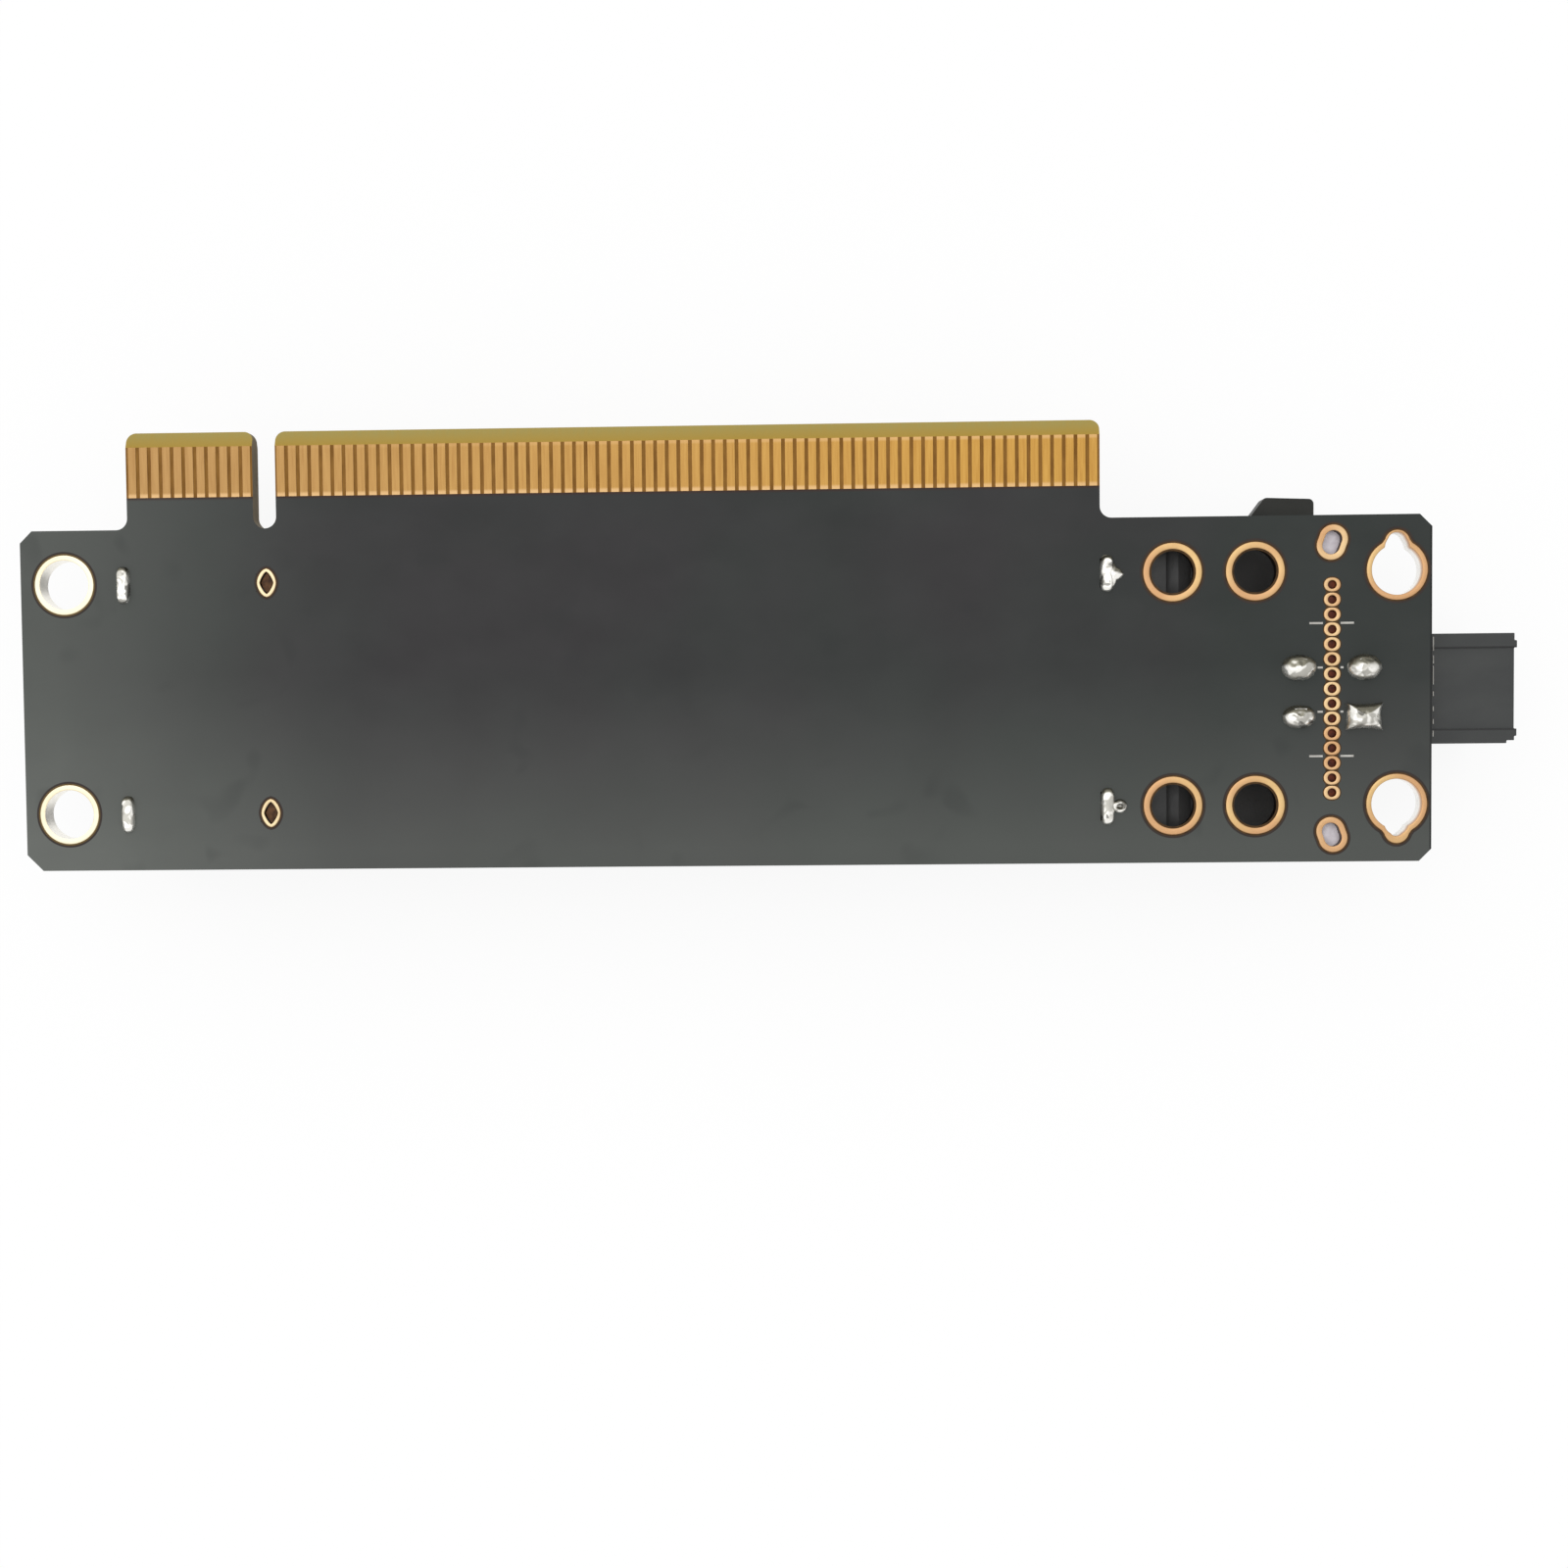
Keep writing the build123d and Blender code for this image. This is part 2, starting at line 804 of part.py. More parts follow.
def clock_chip():
    side = clock_chip_size
    chip = small_part((side, side, clock_chip_height), clock_chip_place, middle_line)
    edges = chip.edges().filter_by(Axis.Z)
    return chamfer(edges, clock_chip_height / 5)


def small_parts(size, side):
    """Two rows of small parts beside the clock chip, on one side of it."""
    first = clock_chip_size / 2 + small_part_gap + size[0] / 2
    rows = [middle_line + offset for offset in (-clock_chip_size / 3, clock_chip_size / 3)]
    return [
        small_part(size, clock_chip_place + side * (first + i * (size[0] + small_part_spacing)), y)
        for i in range(small_parts_a_side)
        for y in rows
    ]


def bulk_capacitor_places():
    first = board_right - bulk_capacitor_place
    return [(first - i * bulk_capacitor_spacing, middle_line) for i in range(2)]


def bulk_terminals():
    """The flat terminals at both ends of each large capacitor."""
    length, height = bulk_terminal_length, bulk_terminal_height
    reach = (bulk_capacitor_size[0] + length) / 2
    return [
        small_part((length, bulk_terminal_width, height), x + side * reach, y)
        for x, y in bulk_capacitor_places()
        for side in (-1, 1)
    ]


def at_slot(name, pieces):
    """Pieces modelled about a slot's centre line, moved to one of the two slots."""
    return [Pos(0, slot_axes[name], 0) * piece for piece in pieces]


def slot_nodes(name):
    ends = (first_contact - hold_down_offset, last_contact + hold_down_offset)
    blades = [hold_down_blade(x, solder_face + hold_down_stub) for x in ends]
    return {
        f"{name}_slot_housing": at_slot(name, [slot_housing()]),
        f"{name}_slot_springs_tongue_side": at_slot(name, spring_row(1)),
        f"{name}_slot_springs_far_side": at_slot(name, spring_row(-1)),
        f"{name}_slot_hold_downs": at_slot(name, blades),
        f"{name}_slot_latch": at_slot(name, [latch()]),
    }


def build():
    """Every piece of the card, by its name."""
    nodes = {
        "circuit_board": [circuit_board()],
        "edge_contacts_solder_side": finger_row(solder_face, 1),
        "edge_contacts_component_side": finger_row(component_face, -1),
        "screw_hole_linings": linings(screw_openings()),
        "pin_hole_linings": linings(pin_openings()),
    }
    for name in slot_axes:
        nodes |= slot_nodes(name)
    nodes |= {
        "power_header_housing": [header_housing()],
        "power_pins_near_row": power_pins(near_pin_x),
        "power_pins_far_row": power_pins(far_pin_x),
        "power_pin_solder": power_solder(),
        "hold_down_solder": hold_down_solder(),
        "clock_chip": [clock_chip()],
        "chip_capacitors": small_parts(capacitor_size, -1),
        "chip_resistors": small_parts(resistor_size, 1),
        "bulk_capacitors": [small_part(bulk_capacitor_size, x, y) for x, y in bulk_capacitor_places()],
        "bulk_capacitor_terminals": bulk_terminals(),
    }
    return nodes


def save(nodes):
    os.makedirs("parts", exist_ok=True)
    for name, pieces in nodes.items():
        solids = [solid for piece in pieces for solid in piece.solids()]
        shape = solids[0] if len(solids) == 1 else Compound(solids)
        export_step(Pos(-origin_x, -origin_y, 0) * shape, f"parts/{name}.step")
        print(name, len(solids))


save(build())
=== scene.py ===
# %% [markdown]
# # A riser card and its two card slots
#
# This lesson dresses a computer riser card. The shapes that fit together come from a CAD model,
# which is loaded first and never moved. Blender adds what gives the card its look: the solder mask,
# the gold of the contacts, the shine of the solder, the printed lines and the fine springs inside
# the slots.

import math

import bmesh
import bpy
from mathutils import Matrix, Vector, noise


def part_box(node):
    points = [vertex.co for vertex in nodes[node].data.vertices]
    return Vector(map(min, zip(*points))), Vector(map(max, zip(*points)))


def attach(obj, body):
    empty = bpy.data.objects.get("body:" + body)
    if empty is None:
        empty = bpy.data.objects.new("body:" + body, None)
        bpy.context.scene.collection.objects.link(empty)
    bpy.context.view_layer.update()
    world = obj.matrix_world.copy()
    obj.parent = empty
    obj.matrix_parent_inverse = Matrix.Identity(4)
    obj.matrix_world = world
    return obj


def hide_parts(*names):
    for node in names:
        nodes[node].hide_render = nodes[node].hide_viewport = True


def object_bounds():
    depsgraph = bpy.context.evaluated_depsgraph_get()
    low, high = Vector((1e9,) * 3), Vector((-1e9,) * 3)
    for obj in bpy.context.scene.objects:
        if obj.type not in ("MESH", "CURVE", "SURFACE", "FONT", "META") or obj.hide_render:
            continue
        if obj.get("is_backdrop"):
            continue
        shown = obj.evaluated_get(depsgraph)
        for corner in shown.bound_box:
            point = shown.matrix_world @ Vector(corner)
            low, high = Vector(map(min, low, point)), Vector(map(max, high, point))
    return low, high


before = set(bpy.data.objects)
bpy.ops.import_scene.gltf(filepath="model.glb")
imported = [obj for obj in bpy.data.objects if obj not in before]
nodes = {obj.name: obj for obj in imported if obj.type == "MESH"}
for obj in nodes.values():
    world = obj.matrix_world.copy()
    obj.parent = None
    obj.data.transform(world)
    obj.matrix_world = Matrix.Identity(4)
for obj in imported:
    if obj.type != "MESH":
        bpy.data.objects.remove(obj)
cad_low, cad_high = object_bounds()
print("CAD box in mm:", [round(v * 1000, 2) for v in (*cad_low, *cad_high)])

# %% [markdown]
# ## Where things are
#
# A circuit board is drawn from one corner, and every hole is given from there. Here the places are
# given in millimetres from the middle of the key notch and from the line where the tongue leaves
# the board. Both are found from the board's own box, so a piece lands where the CAD model says.

# %% Places on the board
MM = 0.001
MICRON = 0.000001
KEY_TO_RIGHT_EDGE = 100.24 * MM
TONGUE_LENGTH = 8.4 * MM
SLOT_PITCH = 20.0

board_low, board_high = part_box("circuit_board")
KEY_X = board_high[0] - KEY_TO_RIGHT_EDGE
SHOULDER_Y = board_high[1] - TONGUE_LENGTH
SOLDER_FACE = board_high[2]
COMPONENT_FACE = board_low[2]
BODY = "card"
UPPER_AXIS = -4.71
LOWER_AXIS = UPPER_AXIS - SLOT_PITCH
AXES = (UPPER_AXIS, LOWER_AXIS)


def at_x(x):
    """A place along X, from millimetres right of the key."""
    return KEY_X + x * MM


def at_y(y):
    """A place along Y, from millimetres above the shoulder line."""
    return SHOULDER_Y + y * MM


def on_board(x, y, z=SOLDER_FACE):
    """A point from both, on the solder face unless it is given another height."""
    return Vector((at_x(x), at_y(y), z))


print("solder face at", round(SOLDER_FACE * 1000, 3), "mm")

# %% [markdown]
# ## Helpers for materials
#
# Each finish is a small network of nodes. They all begin the same way, with a Principled shader and
# the piece's own coordinates in metres, so one helper starts them and others add noise and bump.
# Colours are easier to judge as they look on a screen, so they are written that way and converted.


# %% Material helpers
def screen(red, green, blue):
    """A colour written as screen values from 0 to 255, as the shader needs it."""
    def linear(value):
        value /= 255
        return value / 12.92 if value <= 0.04045 else ((value + 0.055) / 1.055) ** 2.4

    return (linear(red), linear(green), linear(blue), 1.0)


class Finish:
    """A material whose nodes are added one by one."""

    def __init__(self, name, roughness, metallic=0.0, gloss=0.5):
        self.material = bpy.data.materials.new(name)
        self.material.use_nodes = True
        tree = self.material.node_tree
        self.nodes, self.links = tree.nodes, tree.links
        self.shader = self.nodes["Principled BSDF"]
        self.shader.inputs["Roughness"].default_value = roughness
        self.shader.inputs["Metallic"].default_value = metallic
        self.shader.inputs["Specular IOR Level"].default_value = gloss
        self.place = self.nodes.new("ShaderNodeTexCoord").outputs["Object"]

    def scaled(self, stretch):
        """The piece's coordinates, stretched along some axes."""
        mapping = self.nodes.new("ShaderNodeMapping")
        mapping.inputs["Scale"].default_value = stretch
        self.links.new(self.place, mapping.inputs["Vector"])
        return mapping.outputs["Vector"]

    def noise(self, scale, detail=3.0, stretch=None, distortion=0.0):
        """Soft spots, with that many to the metre."""
        texture = self.nodes.new("ShaderNodeTexNoise")
        texture.inputs["Scale"].default_value = scale
        texture.inputs["Detail"].default_value = detail
        texture.inputs["Distortion"].default_value = distortion
        vector = self.scaled(stretch) if stretch else self.place
        self.links.new(vector, texture.inputs["Vector"])
        return texture.outputs[0]

    def spread(self, value, low, high, to_low=0.0, to_high=1.0, smooth=False):
        """A value between two limits, moved to two other limits."""
        remap = self.nodes.new("ShaderNodeMapRange")
        remap.interpolation_type = "SMOOTHSTEP" if smooth else "LINEAR"
        self.links.new(value, remap.inputs["Value"])
        limits = {"From Min": low, "From Max": high, "To Min": to_low, "To Max": to_high}
        for name, number in limits.items():
            remap.inputs[name].default_value = number
        return remap.outputs["Result"]

    def spots(self, scale, detail, low=0.3, high=0.7, stretch=None, distortion=0.0, smooth=False):
        """Soft spots that go from 0 to 1 between two values of the noise."""
        return self.spread(self.noise(scale, detail, stretch, distortion), low, high, smooth=smooth)

    def facing(self, letter):
        """How far the surface faces along one axis, from -1 to 1."""
        geometry = self.nodes.new("ShaderNodeNewGeometry")
        return self.axis(letter, geometry.outputs["Normal"])

    def axis(self, letter, vector=None):
        """One coordinate, or one part of another vector."""
        split = self.nodes.new("ShaderNodeSeparateXYZ")
        self.links.new(vector or self.place, split.inputs["Vector"])
        return split.outputs[letter]

    def maths(self, operation, first, second=None):
        """One step of arithmetic with one or two values, sockets or plain numbers."""
        node = self.nodes.new("ShaderNodeMath")
        node.operation = operation
        for socket, value in zip(node.inputs, (first, second)):
            if isinstance(value, (int, float)):
                socket.default_value = value
            elif value is not None:
                self.links.new(value, socket)
        return node.outputs["Value"]

    def blend(self, factor, first, second):
        """Two colours, mixed by a factor."""
        mix = self.nodes.new("ShaderNodeMix")
        mix.data_type = "RGBA"
        self.links.new(factor, mix.inputs[0])
        for socket, colour in ((mix.inputs[6], first), (mix.inputs[7], second)):
            if isinstance(colour, tuple):
                socket.default_value = colour
            else:
                self.links.new(colour, socket)
        return mix.outputs[2]

    def layer(self, under, over, factor, amount):
        """A colour laid over another, as strongly as a factor times an amount."""
        return self.blend(self.maths("MULTIPLY", factor, amount), under, over)

    def colour(self, socket):
        """Sets the colour from a socket."""
        self.links.new(socket, self.shader.inputs["Base Color"])

    def roughness(self, socket):
        """Sets the roughness from a socket."""
        self.links.new(socket, self.shader.inputs["Roughness"])

    def bump(self, height, depth):
        """A relief of that depth in metres, on top of the last one."""
        node = self.nodes.new("ShaderNodeBump")
        node.inputs["Distance"].default_value = depth
        node.inputs["Strength"].default_value = 1.0
        self.links.new(height, node.inputs["Height"])
        last = self.shader.inputs["Normal"].links
        if last:
            self.links.new(last[0].from_socket, node.inputs["Normal"])
        self.links.new(node.outputs["Normal"], self.shader.inputs["Normal"])


# %% [markdown]
# ## The board's own finish
#
# A board is glass cloth in resin, covered with a thin matt lacquer, the solder mask. The mask stops
# at the contacts, where bare laminate shows between the gold, and the slanted tip is bare as well.
# On the cut edges the layers of glass cloth show as fine lines. One material does all of it: the
# height of a point along the tongue says whether it is masked, and the normal says whether it is
# an edge. A pale painted sheen, a painted reflection of the light, lies on the mask towards the
# left end and towards the edge away from the contacts. Two ramps along X and Y are added up for
# that painted sheen.

# %% Solder mask and its painted sheen
MASK_EDGE = at_y(2.74)
MATT_GLOSS = 0.2
PAINTED_SHEEN_START_X, PAINTED_SHEEN_END_X = 8.0, -18.5
PAINTED_SHEEN_START_Y, PAINTED_SHEEN_END_Y = -12.5, -28.0

board = Finish("solder_mask_on_laminate", 0.6, gloss=MATT_GLOSS)
along = board.axis("X")
across = board.axis("Y")
# Painted sheen: the mask is painted paler towards the left end and towards the lower edge.
painted_sheen_left = board.spread(along, at_x(PAINTED_SHEEN_START_X), at_x(PAINTED_SHEEN_END_X))
painted_sheen_low = board.spread(across, at_y(PAINTED_SHEEN_START_Y), at_y(PAINTED_SHEEN_END_Y))
painted_sheen_left = board.maths("MULTIPLY", board.maths("POWER", painted_sheen_left, 1.2), 0.56)
painted_sheen_low = board.maths("MULTIPLY", board.maths("POWER", painted_sheen_low, 1.15), 0.46)
painted_sheen = board.maths("ADD", painted_sheen_left, painted_sheen_low)
tone = board.spots(38, 2.0, 0.38, 0.62)
dark_mask = board.blend(tone, screen(49, 48, 49), screen(46, 50, 48))
mask = board.blend(painted_sheen, dark_mask, screen(102, 105, 101))
clouds = board.spots(150, 4.0, 0.36, 0.68, (1, 1.4, 1))
mask = board.layer(mask, screen(72, 72, 72), clouds, 0.12)
smudges = board.spots(210, 1.0, 0.62, 0.76, distortion=0.4, smooth=True)
mask = board.layer(mask, screen(40, 43, 43), smudges, 0.2)
print("haze from", round(at_x(PAINTED_SHEEN_START_X) * 1000, 2), "mm to the left end")

# %% Bare laminate, edges and relief
TIP_BEVEL = board_high[1] - 1.3 * MM
CLOTH_LAYER = 0.2 * MM
EDGE_SHADOW_WIDTH = 0.22 * MM
FACE_NORMAL = 0.6

bare = board.spots(900, 2.0, stretch=(3, 0.6, 1))
between = board.blend(bare, screen(118, 78, 20), screen(142, 100, 38))
up_tip = board.spread(across, TIP_BEVEL - 0.1 * MM, board_high[1] - 0.3 * MM)
tip = board.blend(up_tip, screen(166, 134, 50), screen(158, 142, 78))
tip = board.layer(tip, screen(166, 138, 62), bare, 0.4)
on_tip = board.maths("GREATER_THAN", across, TIP_BEVEL)
on_tongue = board.maths("GREATER_THAN", across, MASK_EDGE)
lip = board.spread(across, MASK_EDGE - 0.3 * MM, MASK_EDGE - 0.05 * MM, smooth=True)
mask = board.layer(mask, screen(58, 38, 32), lip, 0.75)
face = board.blend(on_tongue, mask, board.blend(on_tip, between, tip))
# Painted shadow: a thin dark line along the board's right edge.
painted_edge_shadow = board.spread(along, board_high[0] - EDGE_SHADOW_WIDTH, board_high[0] - EDGE_SHADOW_WIDTH * 0.4, smooth=True)
face = board.layer(face, screen(20, 20, 21), painted_edge_shadow, 0.8)
layers = board.maths("MULTIPLY", board.axis("Z"), 2 * math.pi / CLOTH_LAYER)
layers = board.spread(board.maths("SINE", layers), -1, 1)
edge = board.blend(layers, screen(88, 76, 58), screen(126, 112, 84))
upright = board.maths("ABSOLUTE", board.facing("Z"))
is_face = board.maths("GREATER_THAN", upright, FACE_NORMAL)
board.colour(board.blend(is_face, edge, face))
board.roughness(board.spread(board.noise(120), 0.3, 0.7, 0.52, 0.68))
board.bump(board.noise(2600, 2.0), 10 * MICRON)
board.bump(board.noise(160, 2.0), 20 * MICRON)


def dress(name, material):
    """Gives a CAD node its finish."""
    slots = nodes[name].data.materials
    slots.clear()
    slots.append(material)


dress("circuit_board", board.material)
print("board nodes:", len(board.nodes))

# %% [markdown]
# ## Gold on the contacts and in the holes
#
# The contacts are copper plated with nickel and a thin gold. Use and plating leave long scratches
# along each contact, and the ends are paler, where the plating is thicker. The gold is rosier at
# the left end of the tongue and yellower at the right. The rings round the holes are the same
# metal, from peach to pale yellow, with painted shade on their sloping lips, which are coloured
# browner. The walls inside the smaller holes are painted dark brown, a painted shade. Those of the
# keyholes go from gold at the top to near white lower down, and those of the left mounting holes
# are near white: a painted light for the sheet's light from below. All walls are fully metallic,
# so they also mirror the sheet under the card.

# %% Gold of the contacts
ROSY_X, YELLOW_X = -6, 60
SCRATCH_STRETCH = (6, 0.35, 1)

contact_gold = Finish("contact_gold", 0.42, 0.6)
scratches = contact_gold.spots(900, 3.0, stretch=SCRATCH_STRETCH)
to_right = contact_gold.spread(contact_gold.axis("X"), at_x(ROSY_X), at_x(YELLOW_X))
darker = contact_gold.blend(to_right, screen(157, 118, 66), screen(172, 126, 52))
lighter = contact_gold.blend(to_right, screen(176, 137, 83), screen(193, 148, 70))
gold = contact_gold.blend(scratches, darker, lighter)
along_finger = contact_gold.axis("Y")
root, root_faded = MASK_EDGE + 0.15 * MM, MASK_EDGE + 0.45 * MM
root_end = contact_gold.spread(along_finger, root, root_faded, 1.0, 0.0, smooth=True)
tip_faded, tip_start = TIP_BEVEL - 0.4 * MM, TIP_BEVEL - 0.15 * MM
tip_end = contact_gold.spread(along_finger, tip_faded, tip_start, smooth=True)
tip_end = contact_gold.maths("MULTIPLY", tip_end, contact_gold.maths("MULTIPLY", to_right, 0.5))
ends = contact_gold.maths("MAXIMUM", contact_gold.maths("MULTIPLY", root_end, 0.75), tip_end)
contact_gold.colour(contact_gold.blend(ends, gold, screen(210, 172, 122)))
contact_gold.roughness(contact_gold.spread(scratches, 0, 1, 0.38, 0.5))
contact_gold.bump(contact_gold.noise(1500, 2.0, SCRATCH_STRETCH), 6 * MICRON)
for name in ("edge_contacts_solder_side", "edge_contacts_component_side"):
    dress(name, contact_gold.material)
print("contact nodes:", len(contact_gold.nodes))

# %% Gold of the rings
KEYHOLE_X = 97.29
LEFT_SCREW_X = -17.71
END_ZONE = 4
PALE_END = at_x(LEFT_SCREW_X + END_ZONE)
KEYHOLE_END = at_x(KEYHOLE_X - END_ZONE)
WALL_NORMAL = 0.2


def plated_ring(name, peach, yellow):
    """Gold plating, with painted shade on the lips, painted shade and light on the hole walls, and
    pale at the left end.
    """
    ring = Finish(name, 0.36, 0.6)
    tarnish = ring.spots(420, 4.0, 0.3, 0.75)
    hue = ring.spots(170, 1.0, 0.4, 0.6)
    plated = ring.blend(hue, screen(*peach), screen(*yellow))
    plated = ring.layer(plated, screen(176, 130, 84), tarnish, 0.3)
    flat = ring.maths("ABSOLUTE", ring.facing("Z"))
    # Painted shade: the sloping lips are coloured browner the more they tilt.
    plated = ring.blend(ring.spread(flat, 0.72, 0.99), screen(140, 96, 54), plated)
    at_left = ring.maths("LESS_THAN", ring.axis("X"), PALE_END)
    at_right = ring.maths("GREATER_THAN", ring.axis("X"), KEYHOLE_END)
    pale = ring.blend(hue, screen(236, 222, 190), screen(244, 236, 208))
    plated = ring.blend(at_left, plated, pale)
    # Painted light and shade on the walls: near white lower down in the keyholes and near white at
    # the left end, as painted light from the sheet below, and dark brown elsewhere, as painted
    # shade.
    painted_glow_fade = ring.spread(ring.axis("Z"), SOLDER_FACE - 0.8 * MM, SOLDER_FACE - 0.2 * MM)
    painted_glow_from_below = ring.blend(painted_glow_fade, screen(253, 251, 247), screen(208, 164, 124))
    painted_wall_light_and_shade = ring.blend(at_right, screen(66, 42, 26), painted_glow_from_below)
    painted_wall_light_and_shade = ring.blend(at_left, painted_wall_light_and_shade, screen(255, 252, 244))
    is_wall = ring.maths("LESS_THAN", flat, WALL_NORMAL)
    ring.colour(ring.blend(is_wall, plated, painted_wall_light_and_shade))
    ring.links.new(ring.spread(is_wall, 0, 1, 0.6, 1.0), ring.shader.inputs["Metallic"])
    ring.roughness(ring.spread(tarnish, 0, 1, 0.3, 0.46))
    ring.bump(ring.noise(2200, 2.0), 8 * MICRON)
    return ring.material


screw_gold = plated_ring("screw_ring_gold", (202, 157, 112), (214, 180, 124))
pin_gold = plated_ring("pin_ring_gold", (206, 162, 116), (226, 196, 148))
peg_gold = plated_ring("peg_ring_gold", (222, 204, 162), (238, 220, 180))
print("pale left of", round(PALE_END * 1000, 2), "mm")

# %% [markdown]
# ## Moulded plastic
#
# The slots, latches, header and chips are moulded in black plastics. A mould leaves a fine grain,
# and glass fibre in the plastic makes it slightly streaky. The finishes differ in shade and grain.
# Near some lines along X a plastic may be painted lighter or darker: the latches are painted paler
# near their middle, a painted light where they show through the spare holes, and the header has a
# painted shadow at the feet of its rails.


# %% Plastic finishes
def moulded(name, dark, light, roughness, grain, gloss=0.4, painted_lines=(), painted_tone=0, reach=0.1):
    """A moulded plastic of two close shades, with a painted band of another tone near lines of a
    given Y.
    """
    plastic = Finish(name, roughness, gloss=gloss)
    streaks = plastic.spots(300, 3.0, stretch=(0.5, 1, 1))
    shade = plastic.blend(streaks, screen(*dark), screen(*light))
    # Painted light and shade: a band of the painted tone near each line.
    for y in painted_lines:
        distance = plastic.maths("SUBTRACT", plastic.axis("Y"), at_y(y))
        distance = plastic.maths("ABSOLUTE", distance)
        painted_band = plastic.spread(distance, reach * MM * 0.4, reach * MM, 1.0, 0.0, smooth=True)
        shade = plastic.blend(painted_band, shade, screen(painted_tone, painted_tone, painted_tone))
    plastic.colour(shade)
    smooth, rough = roughness - 0.07, roughness + 0.08
    plastic.roughness(plastic.spread(plastic.noise(700, 2.0), 0.3, 0.7, smooth, rough))
    plastic.bump(plastic.noise(grain), 12 * MICRON)
    return plastic.material


# Painted shadow: dark lines on the header's face along the feet of its rails.
RAIL_FOOT_SHADOW_LINES = (-18.43, -11.33)

slot_plastic = moulded("slot_plastic", (41, 42, 42), (51, 51, 50), 0.42, 5200)
# Painted light: the latches are painted paler within 5 mm of each slot's axis, where they show
# through the spare holes.
latch_plastic = moulded(
    "latch_plastic", (30, 31, 28), (41, 42, 38), 0.45, 4200, 0.3, AXES, painted_tone=66, reach=5.0
)
header_plastic = moulded(
    "header_plastic", (45, 47, 47), (55, 57, 56), 0.42, 3600, painted_lines=RAIL_FOOT_SHADOW_LINES, painted_tone=26
)
chip_plastic = moulded("chip_plastic", (34, 34, 36), (44, 44, 46), 0.5, 9000)
print("plastics made")

# %% [markdown]
# ## Rounded edges on the moulded pieces
#
# No mould leaves a perfectly sharp edge, and the small highlight on a rounded one is what makes
# plastic look real. The CAD meshes stay as they are. A Weld modifier joins their loose triangles,
# and a Bevel modifier then rounds every edge that turns by more than a shallow angle.

# %% Round the edges
WELD_REACH = 0.002 * MM
ROUNDED_TURN = math.radians(35)


def soften(name, material, width):
    """Gives a CAD node its finish and rounds its edges."""
    dress(name, material)
    node = nodes[name]
    weld = node.modifiers.new("weld", "WELD")
    weld.merge_threshold = WELD_REACH
    bevel = node.modifiers.new("rounded_edges", "BEVEL")
    bevel.width = width * MM
    bevel.segments = 2
    bevel.limit_method = "ANGLE"
    bevel.angle_limit = ROUNDED_TURN
    bevel.harden_normals = False


EDGE_WIDTHS = (
    ("upper_slot_housing", slot_plastic, 0.06),
    ("upper_slot_latch", latch_plastic, 0.1),
    ("lower_slot_housing", slot_plastic, 0.06),
    ("lower_slot_latch", latch_plastic, 0.1),
    ("power_header_housing", header_plastic, 0.07),
    ("clock_chip", chip_plastic, 0.04),
    ("bulk_capacitors", chip_plastic, 0.12),
)
for name, material, width in EDGE_WIDTHS:
    soften(name, material, width)
print("edges rounded on", len(EDGE_WIDTHS), "pieces")

# %% [markdown]
# ## Tin and solder
#
# Solder is bright where it flowed well and dull where it cooled slowly, so its gloss varies in
# patches; the same patches are painted grey, with small dark flecks, as a painted reflection of
# darker surroundings. The slopes that face the contacts are painted greyer, a painted shade. The
# pins and hold-downs are tinned, with a duller, even shine.

# %% Solder
solder_metal = Finish("solder_metal", 0.3, 0.85)
# Painted reflection and shade: grey patches and dark flecks, and greyer slopes facing +Y.
dull_and_reflection_patches = solder_metal.spots(950, 1.0, 0.44, 0.6, distortion=1.2, smooth=True)
painted_shade_uphill = solder_metal.spread(solder_metal.facing("Y"), -0.12, 0.42, smooth=True)
painted_grey = solder_metal.maths("MAXIMUM", solder_metal.maths("MULTIPLY", dull_and_reflection_patches, 0.62), painted_shade_uphill)
painted_solder_shades = solder_metal.blend(painted_grey, screen(246, 244, 238), screen(112, 109, 96))
painted_dark_flecks = solder_metal.spots(900, 0.0, 0.66, 0.72, distortion=0.8, smooth=True)
solder_metal.colour(solder_metal.layer(painted_solder_shades, screen(62, 60, 54), painted_dark_flecks, 0.7))
solder_metal.roughness(solder_metal.spread(dull_and_reflection_patches, 0, 1, 0.24, 0.4))
solder_metal.bump(solder_metal.noise(420, 1.0, distortion=0.6), 30 * MICRON)
solder = solder_metal.material
print("solder nodes:", len(solder_metal.nodes))

# %% Tin
tin = Finish("tin_plate", 0.35, 0.9)
dull = tin.spots(900, 3.0, stretch=(1, 1, 0.4))
tin.colour(tin.blend(dull, screen(214, 213, 208), screen(176, 174, 168)))
tin.roughness(tin.spread(dull, 0, 1, 0.3, 0.46))
tin.bump(tin.noise(2600, 2.0), 10 * MICRON)

TINNED = (
    "upper_slot_hold_downs",
    "lower_slot_hold_downs",
    "power_pins_near_row",
    "power_pins_far_row",
    "bulk_capacitor_terminals",
)
for name in TINNED:
    dress(name, tin.material)
print("tinned nodes:", len(TINNED))

# %% [markdown]
# ## Making a piece
#
# Every new piece is shaped in a bmesh and then becomes an object at the origin. The helper closes
# doubled points, turns the faces outwards, shades gentle turns smoothly and makes the piece ride on
# its body.

# %% Piece helper
SAME_POINT = 0.0005 * MM


